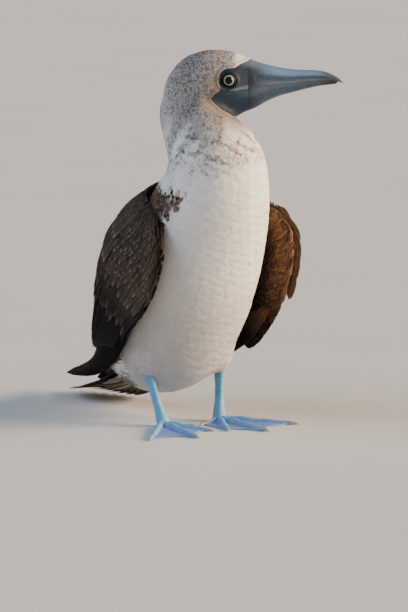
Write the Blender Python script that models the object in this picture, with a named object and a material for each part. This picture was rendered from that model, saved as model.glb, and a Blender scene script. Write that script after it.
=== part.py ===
"""Blue-footed booby, life size, standing upright with its head turned to its left.

Metres, +Z up. The bird faces -Y and its left side is +X. Sizes and stations are in millimetres
from the floor point between its ankles, and MM turns them to metres. At the end the whole bird
moves so that the origin is on the floor under the middle of its outline.
"""

import math

import bpy
import numpy as np
from mathutils import Matrix, Vector

MM = 0.001
GAP = 0.3 * MM  # kept between nodes that touch
ORIGIN = (22.0, 82.0, 0.0)  # floor point under the middle of the outline

# Head: it turns to the bird's left, and its stations run forward along the bill.
HEAD_PLACE = (16.0, -22.3, 416.7)  # middle of the skull, mm
HEAD_TURN = 57.0  # degrees from the breast's heading
BILL_START = 44.0  # mm forward of the skull's middle
EYE_PLACE = (17.8, 24.3, 8.0)  # forward, sideways and up from the skull's middle, mm
EYE_RADIUS = 8.6
LID_RADIUS = 7.3  # middle line of the lids' ring
LID_THICK = 1.3

# Wings
PRIMARIES = 7
SECONDARIES = 12  # with the tertials
COVERTS = 6  # in each of the three tiers
VANE_THICK = 0.6
VANE_STEP = 0.95  # from one vane to the next that lies under it

# Tail
TAIL_FEATHERS = 10
TAIL_COVERTS = 5  # over the root, and as many under it
TAIL_LENGTH = 186.0
TAIL_DROOP = 27.0  # degrees below level where it leaves the rump
TAIL_END = 3.0  # degrees below level where its tip meets the floor
TAIL_ROLL = 20.0  # degrees, left edge down
TAIL_ROOT = (0.0, 100.0, 55.8)

# Feet: toes as (degrees outward from the middle toe, length, knuckle radius, tip radius)
TOES = {
    "outer": (36.0, 92.0, 4.8, 2.4),
    "middle": (0.0, 88.0, 5.0, 2.5),
    "inner": (-30.0, 66.0, 4.6, 2.3),
    "hind": (-72.0, 33.0, 3.6, 2.0),
}
WEB_LOW, WEB_HIGH = 0.5, 1.7
WEB_DIP = 0.15  # how far the web's edge curves in between two toes
CLAW_LENGTH = 8.5
LEG_STUB = 0.16  # share of the tarsus that belongs to the foot

BODY_SHARE = 0.071  # of the smooth skin's faces, kept where they bend most

# Torso and neck, from the rump up to the skull: x, y, z of the middle, half width, half depth
# towards the back, half depth towards the breast, and the turn towards the head's heading.
TRUNK = [
    (0, 134, 47, 10, 8, 8, 0),
    (0, 118, 51, 28, 19, 19, 0),
    (0, 94, 61, 46, 33, 38, 0),
    (0, 67, 81, 60, 48, 58, 0),
    (0, 40, 111, 71, 64, 73, 0),
    (0, 13, 152, 78, 77, 76, 0),
    (0, -10, 196, 80, 84, 77, 0),
    (0, -30, 237, 77, 83, 73, 0),
    (0, -46, 273, 71, 77, 70, 0),
    (0, -55, 301, 65, 68, 65, 8),
    (1, -54, 326, 60, 60, 60, 20),
    (2, -44, 348, 54, 57, 50, 34),
    (3, -31, 367, 48, 56, 33, 46),
    (4, -19, 384, 43, 54, 24, 54),
    (5, -14, 399, 38, 51, 18, 57),
]
# Head: forward place, lowest and highest point, half width
HEAD = [
    (-60, -36, -4, 12),
    (-55, -44, 9, 20),
    (-44, -50, 25, 29),
    (-30, -54, 36, 35),
    (-14, -54, 41.5, 38.5),
    (2, -50, 43.5, 37),
    (18, -43, 42, 32),
    (30, -37, 39, 27),
    (40, -33, 35.5, 21.5),
    (50, -28.5, 31.5, 17.0),
]
HEAD_EGG = 0.15  # how much narrower the head is above than below
GAPE_START, GAPE_DROP = 21.0, 3.4  # where the mouth's line ends under the eye, and how much lower
GAPE_WIDTH, GAPE_DEPTH = 1.2, 1.6
# Bill: forward place, ridge, line of the mouth, keel, half widths of the upper and lower halves
BILL = [
    (44, 32.6, -3.0, -30.5, 18.6, 18.0),
    (53, 28.4, -0.6, -26.4, 16.2, 15.4),
    (66, 24.0, 1.2, -19.4, 13.8, 12.8),
    (80, 20.8, 1.9, -13.6, 11.6, 10.6),
    (93, 18.8, 2.8, -10.0, 10.0, 8.9),
    (107, 17.8, 4.2, -6.2, 8.6, 7.4),
    (124, 17.4, 5.4, -2.2, 7.1, 5.9),
    (136, 15.2, 5.2, -0.4, 5.9, 4.5),
    (146, 10.8, 4.4, 0.8, 4.4, 3.0),
    (152, 7.0, 3.0, 1.0, 2.9, 1.6),
    (156, 3.0, 1.6, 0.7, 1.2, 0.6),
]
LOWER_BILL_END = 149.0

# Each leg: where the tarsus leaves the plumage, where it meets the toes, and the middle toe's
# heading in degrees outward from straight ahead.
LEGS = {
    "right": {"side": -1, "ankle": (-47, 24, 60), "base": (-38, 8, 8), "heading": 5.0},
    "left": {"side": 1, "ankle": (44, 6, 60), "base": (38, -2, 8), "heading": 6.0},
}
# Tarsus: share of the way up, half depth front to back, half width
TARSUS = [
    (0.0, 8.4, 7.6),
    (0.16, 7.4, 6.2),
    (0.4, 6.4, 4.8),
    (0.7, 6.3, 4.7),
    (0.9, 7.6, 5.8),
    (1.08, 7.8, 6.2),
]

# Each wing lies on a curved sheet between its lower edge and its edge along the back. Both run
# from the bend of the wing to its tip.
WINGS = {
    "right": {
        "side": -1,
        "low": [(81, -48, 259), (95, -75, 223), (97, -54, 167), (92, 0, 121), (79, 60, 79),
                (46, 163, 46), (14, 292, 25)],
        "back": [(26, 18, 300), (37, 55, 276), (40, 92, 236), (34, 124, 184), (27, 147, 136),
                 (21, 172, 98), (18, 224, 64), (10, 290, 32)],
    },
    "left": {
        "side": 1,
        "low": [(94, -50, 265), (108, -65, 230), (108, -60, 179), (100, -33, 121), (88, 19, 77),
                (56, 144, 52), (14, 288, 33)],
        "back": [(26, 18, 300), (37, 53, 277), (41, 89, 237), (36, 120, 186), (28, 144, 138),
                 (21, 169, 101), (17, 221, 68), (9, 287, 39)],
    },
}
WING_BULGE = 42.0  # how far the sheet stands out from its two edges
WING_ROUND = 1.7  # over 1, the sheet bends more where it turns onto the back
WING_SWELL = 0.22  # share of the wing's length over which it rises from the shoulder
SECONDARY_ENDS = [(0.0, 0.49), (0.2, 0.56), (0.4, 0.635), (0.65, 0.62), (1.0, 0.585)]
CORE_END = 0.42  # share of the wing's length that its fleshy core takes


def clear_scene():
    for obj in list(bpy.data.objects):
        bpy.data.objects.remove(obj, do_unlink=True)


def material(name, colour, roughness):
    made = bpy.data.materials.new(name)
    made.use_nodes = True
    shader = made.node_tree.nodes["Principled BSDF"]
    shader.inputs["Base Color"].default_value = (*colour, 1.0)
    shader.inputs["Roughness"].default_value = roughness
    shader.inputs["Metallic"].default_value = 0.0
    return made


def smooth_rows(rows, count):
    """`count` rows read evenly from a smooth curve through the given rows."""
    rows = np.array(rows, float)
    slopes = np.gradient(rows, axis=0)
    spots = np.linspace(0, len(rows) - 1, count)
    first = np.minimum(spots.astype(int), len(rows) - 2)
    f = (spots - first)[:, None]
    return (
        rows[first] * (2 * f**3 - 3 * f**2 + 1)
        + slopes[first] * (f**3 - 2 * f**2 + f)
        + rows[first + 1] * (3 * f**2 - 2 * f**3)
        + slopes[first + 1] * (f**3 - f**2)
    )


def add_mesh(name, points, faces, finish=None):
    """One object from points in metres."""
    mesh = bpy.data.meshes.new(name)
    mesh.from_pydata([tuple(map(float, p)) for p in points], [], faces)
    mesh.validate()
    obj = bpy.data.objects.new(name, mesh)
    bpy.context.scene.collection.objects.link(obj)
    if finish:
        mesh.materials.append(finish)
    return obj


def loft(name, rings, finish=None):
    """A closed body through rings of equal length, each end closed round its middle."""
    rings = np.array(rings, float)
    count, around = rings.shape[:2]
    points = rings.reshape(-1, 3).tolist()
    faces = []
    for i in range(count - 1):
        for j in range(around):
            k = (j + 1) % around
            a, b = i * around, (i + 1) * around
            faces.append((a + j, a + k, b + k, b + j))
    for ring, flip in ((0, True), (count - 1, False)):
        points.append(rings[ring].mean(0).tolist())
        tip = len(points) - 1
        for j in range(around):
            k = (j + 1) % around
            pair = (ring * around + j, ring * around + k)
            faces.append((pair[1], pair[0], tip) if flip else (pair[0], pair[1], tip))
    obj = add_mesh(name, points, faces, finish)
    face_out(obj)
    return obj


def face_out(obj):
    """Turns a closed body's faces outward."""
    mesh = obj.data
    mesh.calc_loop_triangles()
    points = np.array([v.co for v in mesh.vertices])
    corners = points[np.array([t.vertices for t in mesh.loop_triangles])]
    if np.linalg.det(corners).sum() < 0:
        mesh.flip_normals()


def remove(objects):
    for obj in objects:
        bpy.data.objects.remove(obj, do_unlink=True)


def apply_modifiers(obj):
    graph = bpy.context.evaluated_depsgraph_get()
    mesh = bpy.data.meshes.new_from_object(obj.evaluated_get(graph))
    obj.modifiers.clear()
    obj.data = mesh


def keep_largest(obj):
    """Leaves only the largest connected surface of the object."""
    mesh = obj.data
    group = list(range(len(mesh.vertices)))

    def root(i):
        while group[i] != i:
            group[i] = group[group[i]]
            i = group[i]
        return i

    for edge in mesh.edges:
        a, b = (root(i) for i in edge.vertices)
        group[a] = b
    roots = [root(i) for i in range(len(group))]
    keep = max(set(roots), key=roots.count)
    points = [v.co.copy() for v, r in zip(mesh.vertices, roots) if r == keep]
    index = {v.index: n for n, v in enumerate(v for v, r in zip(mesh.vertices, roots) if r == keep)}
    faces = [tuple(index[i] for i in p.vertices) for p in mesh.polygons if p.vertices[0] in index]
    finish = mesh.materials[0] if mesh.materials else None
    fresh = bpy.data.meshes.new(obj.name)
    fresh.from_pydata(points, [], faces)
    fresh.validate()
    if finish:
        fresh.materials.append(finish)
    obj.data = fresh


def combine(obj, others, operation, solver="EXACT"):
    """Joins the other bodies to obj, or cuts them from it, and removes them."""
    group = bpy.data.collections.new(obj.name + "_others")
    for other in others:
        group.objects.link(other)
    boolean = obj.modifiers.new("combine", "BOOLEAN")
    boolean.operand_type = "COLLECTION"
    boolean.collection = group
    boolean.operation = operation
    boolean.solver = solver
    apply_modifiers(obj)
    remove(others)
    bpy.data.collections.remove(group)


def head_axes():
    """Forward, left and up of the turned head."""
    turn = math.radians(HEAD_TURN)
    return (
        np.array((math.sin(turn), -math.cos(turn), 0.0)),
        np.array((math.cos(turn), math.sin(turn), 0.0)),
        np.array((0.0, 0.0, 1.0)),
    )


def head_point(forward, left, up):
    """A place given from the middle of the skull, in metres."""
    ahead, side, top = head_axes()
    return (np.array(HEAD_PLACE) + forward * ahead + left * side + up * top) * MM


def trunk_rings(around=28, count=34):
    rows = smooth_rows(TRUNK, count)
    middles = rows[:, :3]
    along = np.gradient(middles, axis=0)
    rings = []
    for row, direction in zip(rows, along):
        _, _, _, half_width, to_back, to_breast, turn = row
        turn = math.radians(turn)
        direction = direction / np.linalg.norm(direction)
        left = np.array((math.cos(turn), math.sin(turn), 0.0))
        left -= direction * (left @ direction)
        left /= np.linalg.norm(left)
        front = np.cross(left, direction)
        if front[1] > 0:
            front = -front
        ring = []
        for j in range(around):
            angle = 2 * math.pi * j / around
            depth = to_breast if math.sin(angle) > 0 else to_back
            ring.append(
                row[:3] + left * half_width * math.cos(angle) + front * depth * math.sin(angle)
            )
        rings.append(ring)
    return np.array(rings) * MM


def head_rings(around=28, count=20):
    rings = []
    for forward, low, high, half_width in smooth_rows(HEAD, count):
        middle, half = (low + high) / 2, (high - low) / 2
        rings.append(
            [
                head_point(
                    forward,
                    half_width * math.cos(a) * (1 - HEAD_EGG * math.sin(a)),
                    middle + half * math.sin(a),
                )
                for a in (2 * math.pi * j / around for j in range(around))
            ]
        )
    return rings


def thigh(name, leg):
    """The feathered drumstick that the tarsus comes out of."""
    ankle = np.array(leg["ankle"], float)
    top = np.array((ankle[0] * 0.85, ankle[1] + 4, 118.0))
    rows = [(0.0, 7.5), (0.06, 11.5), (0.3, 19.0), (0.6, 26.0), (1.0, 28.0)]
    along = (top - ankle) / np.linalg.norm(top - ankle)
    side = np.cross(along, (0.0, 1.0, 0.0))
    side /= np.linalg.norm(side)
    front = np.cross(side, along)
    rings = []
    for share, radius in smooth_rows(rows, 8):
        middle = ankle + (top - ankle) * share
        rings.append(
            [
                (middle + radius * (side * math.cos(a) + front * math.sin(a))) * MM
                for a in (2 * math.pi * j / 16 for j in range(16))
            ]
        )
    return loft(name, rings)


def whole_body(finish):
    """Torso, neck, head and thighs as one smooth skin."""
    body = loft("torso", trunk_rings(), finish)
    others = [loft("head_form", head_rings())]
    others += [thigh("thigh_" + side, leg) for side, leg in LEGS.items()]
    combine(body, others, "UNION")
    remesh = body.modifiers.new("even", "REMESH")
    remesh.mode = "VOXEL"
    remesh.voxel_size = 4.0 * MM
    smooth = body.modifiers.new("smooth", "SMOOTH")
    smooth.factor = 0.5
    smooth.iterations = 10
    fewer = body.modifiers.new("fewer", "DECIMATE")
    fewer.ratio = BODY_SHARE
    apply_modifiers(body)
    keep_largest(body)
    body.data.materials.clear()
    body.data.materials.append(finish)
    return body


def slab(name, middle, normal, thickness, size=0.5):
    """A thin box across a plane, for parting a body."""
    bpy.ops.mesh.primitive_cube_add(size=1.0)
    box = bpy.context.object
    box.name = name
    box.data.transform(Matrix.Diagonal((size, size, thickness, 1.0)))
    turn = Vector(normal).to_track_quat("Z", "Y").to_matrix().to_4x4()
    box.data.transform(Matrix.Translation(Vector(middle)) @ turn)
    return box


def half_space(name, middle, normal, size=1.2):
    """A box that fills the side of a plane that its normal points to."""
    normal = Vector(normal).normalized()
    return slab(name, Vector(middle) + normal * size / 2, normal, size, size)


def copy_of(obj, name):
    made = obj.copy()
    made.data = obj.data.copy()
    made.name = name
    bpy.context.scene.collection.objects.link(made)
    return made


def grown(obj, name, by=GAP):
    """A copy whose skin stands out by a small amount, to cut its neighbours with."""
    made = copy_of(obj, name)
    normals = [v.normal.copy() for v in made.data.vertices]
    for vertex, normal in zip(made.data.vertices, normals):
        vertex.co += normal * by
    return made


def part_body(body, neck_finish, head_finish):
    """Parts the body into torso, neck and head with two thin plane cuts."""
    neck_low = Vector((0, -55, 305)) * MM
    neck_low_up = Vector((0.0, -0.18, 1.0)).normalized()
    neck_high = Vector(head_point(-14, 0, -36))
    neck_high_up = Vector((0.0, 0.0, 1.0)) + Vector(head_axes()[0]) * 0.10
    neck_high_up.normalize()
    neck = copy_of(body, "neck")
    head = copy_of(body, "head")
    half = GAP / 2
    combine(body, [half_space("above", neck_low - neck_low_up * half, neck_low_up)], "DIFFERENCE")
    combine(
        neck,
        [
            half_space("below", neck_low + neck_low_up * half, -neck_low_up),
            half_space("above", neck_high - neck_high_up * half, neck_high_up),
        ],
        "DIFFERENCE",
    )
    ahead = Vector(head_axes()[0])
    face = Vector(head_point(BILL_START, 0, 0))
    combine(
        head,
        [
            half_space("below", neck_high + neck_high_up * half, -neck_high_up),
            half_space("ahead", face - ahead * half, ahead),
        ],
        "DIFFERENCE",
    )
    for obj, finish in ((neck, neck_finish), (head, head_finish)):
        obj.data.materials.clear()
        obj.data.materials.append(finish)
    return neck, head


def ball(name, middle, radius, finish=None, segments=14, rings=9):
    bpy.ops.mesh.primitive_uv_sphere_add(segments=segments, ring_count=rings, radius=radius)
    obj = bpy.context.object
    obj.name = name
    obj.data.transform(Matrix.Translation(Vector(middle)))
    if finish:
        obj.data.materials.append(finish)
    return obj


def eye_middle(side):
    forward, out, up = EYE_PLACE
    return head_point(forward, side * out, up)


def gape_groove(side):
    """A cutter that carries the line of the mouth back over the cheek."""
    table = np.array(HEAD, float)
    mouth = BILL[0][2]
    rings = []
    for share in np.linspace(0, 1, 6):
        forward = GAPE_START + (BILL_START + 2.0 - GAPE_START) * share
        cheek = np.interp(forward, table[:, 0], table[:, 3]) - 1.0
        level = mouth - GAPE_DROP * (1 - share) ** 1.5
        size = 0.3 + 0.7 * min(1.0, share * 3)
        rings.append(
            [
                head_point(
                    forward,
                    side * (cheek + GAPE_DEPTH * 2 * math.cos(a)),
                    level + GAPE_WIDTH / 2 * size * math.sin(a),
                )
                for a in (2 * math.pi * j / 6 for j in range(6))
            ]
        )
    return loft("gape", rings)


def add_face(head, finish):
    """The lids are rings raised on the head, each eye sits in a socket behind them, and the line
    of the mouth runs back under it."""
    ahead, left, up = head_axes()
    lids, sockets = [], []
    for name, side in (("left", 1), ("right", -1)):
        look = Vector(left * side + ahead * 0.16 + up * 0.04).normalized()
        middle = Vector(eye_middle(side))
        out = math.sqrt(EYE_RADIUS**2 - LID_RADIUS**2) + 0.5
        bpy.ops.mesh.primitive_torus_add(
            major_radius=LID_RADIUS * MM,
            minor_radius=LID_THICK * MM,
            major_segments=18,
            minor_segments=6,
        )
        lid = bpy.context.object
        turn = look.to_track_quat("Z", "Y").to_matrix().to_4x4()
        lid.data.transform(Matrix.Translation(middle + look * out * MM) @ turn)
        lid.name = "lid_" + name
        lids.append(lid)
        sockets.append(ball("socket_" + name, middle, EYE_RADIUS * MM + GAP))
        eye = ball("eye_" + name, middle, EYE_RADIUS * MM, finish)
        eye.data.shade_smooth()
    combine(head, lids, "UNION", "MANIFOLD")
    cutters = sockets + [gape_groove(-1), gape_groove(1)]
    combine(head, cutters, "DIFFERENCE", "MANIFOLD")
    keep_largest(head)


def bill_half(name, upper, finish):
    """One half of the bill: a rounded ridge over, or under, the flat line of the mouth."""
    rows = [r for r in BILL if upper or r[0] <= LOWER_BILL_END]
    if not upper:
        rows.append((LOWER_BILL_END, 9.6, 3.9, 1.7, 3.8, 2.0))
    rings = []
    for forward, ridge, mouth, keel, half_up, half_low in smooth_rows(rows, 18):
        reach = ridge - mouth if upper else keel - mouth
        edge = mouth + (0.5 if upper else -0.5) * GAP / MM
        half = half_up if upper else half_low
        depth = max(abs(reach) - 0.5 * GAP / MM, 0.4) * (1 if upper else -1)
        ring = [head_point(forward, 0.0, edge), head_point(forward, -half * 0.5, edge)]
        for j in range(11):
            a = math.pi * (1 - j / 10)
            flank = math.copysign(abs(math.cos(a)) ** 0.9, math.cos(a))
            ring.append(head_point(forward, half * flank, edge + depth * math.sin(a) ** 0.85))
        ring.append(head_point(forward, half * 0.5, edge))
        rings.append(ring)
    start = np.array(head_axes()[0]) * GAP / 2
    rings = np.array(rings)
    rings[0] += start
    obj = loft(name, rings, finish)
    obj.data.shade_smooth()
    obj.data.set_sharp_from_angle(angle=math.radians(40))
    return obj


def tarsus_rings(leg, low, high, lift=0.0, around=14):
    """Rings of the tarsus between two shares of its length."""
    base = np.array(leg["base"], float)
    ankle = np.array(leg["ankle"], float)
    along = (ankle - base) / np.linalg.norm(ankle - base)
    side = np.cross(along, (0.0, 1.0, 0.0))
    side /= np.linalg.norm(side)
    front = np.cross(side, along)
    table = np.array(TARSUS)
    rings = []
    for share in np.linspace(low, high, 3 if high < 0.5 else 7):
        deep = np.interp(share, table[:, 0], table[:, 1])
        wide = np.interp(share, table[:, 0], table[:, 2])
        middle = base + (ankle - base) * share + along * lift
        rings.append(
            [
                (middle + side * wide * math.cos(a) + front * deep * math.sin(a)) * MM
                for a in (2 * math.pi * j / around for j in range(around))
            ]
        )
    return rings


def toe_direction(leg, spread):
    """Unit vector on the floor, `spread` degrees outward from the middle toe."""
    angle = math.radians(leg["heading"] + spread) * leg["side"]
    return np.array((math.sin(angle), -math.cos(angle), 0.0))


def toe(name, leg, spread, length, knuckle, tip, around=8):
    """A tapering toe with two knuckles, flat where it stands on the floor."""
    ahead = toe_direction(leg, spread)
    side = np.array((-ahead[1], ahead[0], 0.0))
    base = np.array((leg["base"][0], leg["base"][1], 0.0))
    rings = []
    for share in np.linspace(0.0, 1.0, 7):
        bulge = 1 + 0.12 * math.cos(share * 6 * math.pi) * (1 - share)
        radius = (knuckle + (tip - knuckle) * share) * bulge
        middle = base + ahead * length * share
        ring = []
        for j in range(around):
            a = 2 * math.pi * (j + 0.5) / around
            point = middle + side * radius * math.cos(a)
            point[2] = max(radius * (0.8 + math.sin(a)), 0.0)
            ring.append(point * MM)
        rings.append(ring)
    return loft(name, rings)


def web(name, leg):
    """The thin skin between all four toes, its edge curving in between their tips."""
    order = ["hind", "inner", "middle", "outer"]
    base = np.array((leg["base"][0], leg["base"][1], 0.0))
    rim = []
    for first, second in zip(order, order[1:]):
        for f in np.linspace(0, 1, 6)[: 6 if second == "outer" else 5]:
            spread = TOES[first][0] * (1 - f) + TOES[second][0] * f
            reach = TOES[first][1] * (1 - f) + TOES[second][1] * f
            reach *= 0.97 * (1 - WEB_DIP * math.sin(math.pi * f))
            rim.append(toe_direction(leg, spread) * reach)
    shares = (0.04, 0.5, 1.0)
    top, low = [], []
    for share in shares:
        for point in rim:
            place = base + point * share
            top.append((*place[:2] * MM, (WEB_HIGH + 2.0 * (1 - share) ** 2) * MM))
            low.append((*place[:2] * MM, WEB_LOW * MM))
    count, wide = len(top), len(rim)
    faces = []
    for i in range(len(shares) - 1):
        for j in range(wide - 1):
            a, b = i * wide + j, (i + 1) * wide + j
            faces.append((a, a + 1, b + 1))
            faces.append((a, b + 1, b))
            faces.append((count + a, count + b + 1, count + a + 1))
            faces.append((count + a, count + b, count + b + 1))
    border = [j for j in range(wide)]
    border += [i * wide + wide - 1 for i in range(1, len(shares))]
    border += [(len(shares) - 1) * wide + j for j in range(wide - 2, -1, -1)]
    border += [i * wide for i in range(len(shares) - 2, 0, -1)]
    for a, b in zip(border, border[1:] + border[:1]):
        faces.append((b, a, count + a, count + b))
    obj = add_mesh(name, top + low, faces)
    face_out(obj)
    return obj


def claw(name, leg, spread, length, tip, finish):
    """A small hooked claw just past the toe's end."""
    ahead = toe_direction(leg, spread)
    side = np.array((-ahead[1], ahead[0], 0.0))
    base = np.array((leg["base"][0], leg["base"][1], 0.0)) + ahead * (length + GAP / MM)
    rings = []
    for share in (0.0, 0.35, 0.7, 1.0):
        radius = tip * 0.92 * (1 - share) ** 0.7 + 0.35
        middle = base + ahead * CLAW_LENGTH * share
        rise = tip * (0.95 - 0.55 * share**1.6) + 0.1
        ring = []
        for j in range(8):
            a = 2 * math.pi * j / 8
            point = middle + side * radius * 0.8 * math.cos(a)
            point[2] = max(rise + radius * math.sin(a), 0.05)
            ring.append(point * MM)
        rings.append(ring)
    return loft(name, rings, finish)


def add_legs(body, skin, horn):
    """Tarsus, webbed foot and claws of both legs."""
    for name, leg in LEGS.items():
        foot = loft("foot_" + name, tarsus_rings(leg, -0.1, LEG_STUB), skin)
        pieces = [web("web", leg)]
        for which, (spread, length, knuckle, tip) in TOES.items():
            pieces.append(toe("toe", leg, spread, length, knuckle, tip))
            claw(f"claw_{name}_{which}", leg, spread, length, tip, horn)
        combine(foot, pieces, "UNION")
        keep_largest(foot)
        tarsus = loft("leg_" + name, tarsus_rings(leg, LEG_STUB, 1.08, GAP / MM), skin)
        combine(tarsus, [grown(body, "socket")], "DIFFERENCE")
        keep_largest(tarsus)


def vane(name, line, across, over, width, slope=0.0, root=0.4, tip=0.45):
    """A feather's vane: a thin closed strip along a line of points, all in millimetres.

    `across` and `over` are unit vectors at each point, over the width and out of the surface, and
    `slope` is how much the vane's surface falls per millimetre across.
    """
    line, across, over = (np.array(v, float) for v in (line, across, over))
    count = len(line)
    shares = np.linspace(0, 1, count)
    spread = np.minimum(1.0, root + (1 - root) * shares / 0.3)
    taper = np.clip((1 - shares) / 0.34, 0.0, 1.0)
    spread = spread * (tip + (1 - tip) * np.sqrt(1 - (1 - taper) ** 2))
    spread[-1] *= 0.55
    points = []
    for i in range(count):
        half = width / 2 * spread[i]
        for sign, level in ((-1, 1), (1, 1), (1, -1), (-1, -1)):
            lift = -slope * half * sign + level * VANE_THICK / 2
            points.append((line[i] + across[i] * half * sign + over[i] * lift) * MM)
    faces = []
    for i in range(count - 1):
        a, b = 4 * i, 4 * (i + 1)
        faces += [(a, a + 1, b + 1), (a, b + 1, b)]
        faces += [(a + 3, b + 2, a + 2), (a + 3, b + 3, b + 2)]
        faces += [(a + 1, a + 2, b + 2, b + 1), (a, b, b + 3, a + 3)]
    last = 4 * (count - 1)
    faces += [(0, 3, 2, 1), (last, last + 1, last + 2, last + 3)]
    obj = add_mesh(name, points, faces)
    face_out(obj)
    return obj


class WingSheet:
    """The curved sheet that a folded wing lies on. s runs from bend to tip, t from low to back."""

    def __init__(self, wing, samples=61):
        self.side = wing["side"]
        self.low = self.even(wing["low"], samples)
        self.back = self.even(wing["back"], samples)
        self.shares = np.linspace(0, 1, samples)

    def even(self, points, samples):
        """The edge, read at even steps of its own length."""
        fine = smooth_rows(points, 200)
        fine[:, 0] *= self.side
        steps = np.linalg.norm(np.diff(fine, axis=0), axis=1)
        run = np.concatenate([[0], np.cumsum(steps)])
        spots = np.linspace(0, run[-1], samples)
        return np.stack([np.interp(spots, run, fine[:, k]) for k in range(3)], axis=1)

    def flat(self, s, t):
        low, back = (
            np.array([np.interp(s, self.shares, edge[:, k]) for k in range(3)])
            for edge in (self.low, self.back)
        )
        chord = back - low
        out = np.array((chord[1], -chord[0], 0.0)) * self.side
        out /= np.linalg.norm(out)
        rise = min(1.0, max(0.0, s / WING_SWELL))
        bulge = WING_BULGE * (1 - s) * (0.5 + 0.5 * rise * rise * (3 - 2 * rise))
        bulge *= math.sin(math.pi * np.clip(t, 0, 1) ** WING_ROUND)
        return low + chord * t + out * bulge

    def frame(self, s, t):
        """Point, direction along, direction across and outward normal."""
        step = 0.01
        s = float(np.clip(s, step, 1 - step))
        here = self.flat(s, t)
        along = self.flat(s + step, t) - self.flat(s - step, t)
        across = self.flat(s, t + step) - self.flat(s, t - step)
        along /= np.linalg.norm(along)
        over = np.cross(along, across)
        over /= np.linalg.norm(over)
        if over[0] * self.side < 0:
            over = -over
        across = np.cross(over, along)
        return here, along, across, over

    def feather(self, name, start, end, width, heights, slope=0.0, points=6, rise=1.0):
        """A vane from start to end, both (s, t), its height over the sheet going from the first to
        the second of `heights` over the share `rise` of its length."""
        line, across, over = [], [], []
        for f in np.linspace(0, 1, points):
            s = start[0] + (end[0] - start[0]) * f
            t = start[1] + (end[1] - start[1]) * f
            here, _, sideways, out = self.frame(s, t)
            height = heights[0] + (heights[1] - heights[0]) * min(1.0, f / rise)
            line.append(here + out * height)
            across.append(sideways * self.side)
            over.append(out)
        return vane(name, line, across, over, width, slope)

    def width(self, s):
        """How wide the sheet is at s."""
        return float(np.linalg.norm(self.flat(s, 1.0) - self.flat(s, 0.0)))


def wing_core(name, sheet, finish):
    """Arm and hand with their small coverts, thick along the front and thin behind."""
    rows, columns = 8, 8
    outer, inner = [], []
    for i in range(rows):
        f = i / (rows - 1)
        for j in range(columns):
            g = j / (columns - 1)
            s = CORE_END * f * (1 - 0.25 * g)
            here, _, _, over = sheet.frame(s, 0.02 + 0.94 * g)
            rim = math.sin(math.pi * min(1.0, 0.12 + g * 0.95)) ** 0.5
            thick = (13.0 * (1 - f) ** 0.8 + 2.0) * (0.35 + 0.65 * rim)
            outer.append((here + over * 1.2 * rim) * MM)
            inner.append((here - over * thick) * MM)
    count = rows * columns
    faces = []
    for i in range(rows - 1):
        for j in range(columns - 1):
            a, b = i * columns + j, (i + 1) * columns + j
            faces += [(a, a + 1, b + 1), (a, b + 1, b)]
            faces += [(count + a, count + b + 1, count + a + 1)]
            faces += [(count + a, count + b, count + b + 1)]
    border = list(range(columns))
    border += [i * columns + columns - 1 for i in range(1, rows)]
    border += [(rows - 1) * columns + j for j in range(columns - 2, -1, -1)]
    border += [i * columns for i in range(rows - 2, 0, -1)]
    for a, b in zip(border, border[1:] + border[:1]):
        faces.append((b, a, count + a, count + b))
    obj = add_mesh(name, outer + inner, faces, finish)
    face_out(obj)
    return obj


def wing_feathers(sheet):
    """All the vanes of one wing. Inner feathers lie over outer ones, and coverts over both."""
    made = []
    for i in range(PRIMARIES):
        f = i / (PRIMARIES - 1)
        start = (0.20 + 0.08 * f, 0.10 + 0.14 * f)
        end = (0.985 - 0.30 * f, 0.10 + 0.26 * f)
        height = VANE_STEP * (i - PRIMARIES) - 1.6
        heights = (max(height, -3.5), height)
        made.append(sheet.feather("primary", start, end, 21.0, heights, 0.0, 7, 0.3))
    spacing = 0.80 * sheet.width(0.4) / (SECONDARIES - 1)
    for i in range(SECONDARIES):
        f = i / (SECONDARIES - 1)
        start = (0.20 - 0.06 * f, 0.12 + 0.76 * f)
        end = (float(np.interp(f, *zip(*SECONDARY_ENDS))), 0.14 + 0.78 * f)
        slope = VANE_STEP / spacing
        made.append(sheet.feather("secondary", start, end, 21.0, (-2.6, 0.6), slope, 5))
    spacing = 0.58 * sheet.width(0.2) / (COVERTS - 1)
    for root, reach, drop in ((0.12, 0.37, -4.0), (0.05, 0.25, -2.8), (0.0, 0.14, -1.4)):
        for i in range(COVERTS):
            f = i / (COVERTS - 1)
            t = 0.06 + 0.58 * f
            heights = (drop, 2.0)
            slope = VANE_STEP / spacing
            made.append(sheet.feather("covert", (root, t), (reach, t), 21.0, heights, slope, 4))
    for root, reach, drop in ((0.10, 0.42, -3.0), (0.0, 0.27, -3.0)):
        for i in range(3):
            t = 0.70 + 0.12 * i
            heights = (drop, 3.6)
            end = (reach - 0.05 * i, t)
            made.append(sheet.feather("scapular", (root, t), end, 22.0, heights, 0.07, 5))
    return made


def add_wings(body, finish):
    for name, wing in WINGS.items():
        sheet = WingSheet(wing)
        core = wing_core("wing_" + name, sheet, finish)
        combine(core, wing_feathers(sheet), "UNION", "MANIFOLD")
        combine(core, [grown(body, "side")], "DIFFERENCE", "MANIFOLD")
        keep_largest(core)


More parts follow.
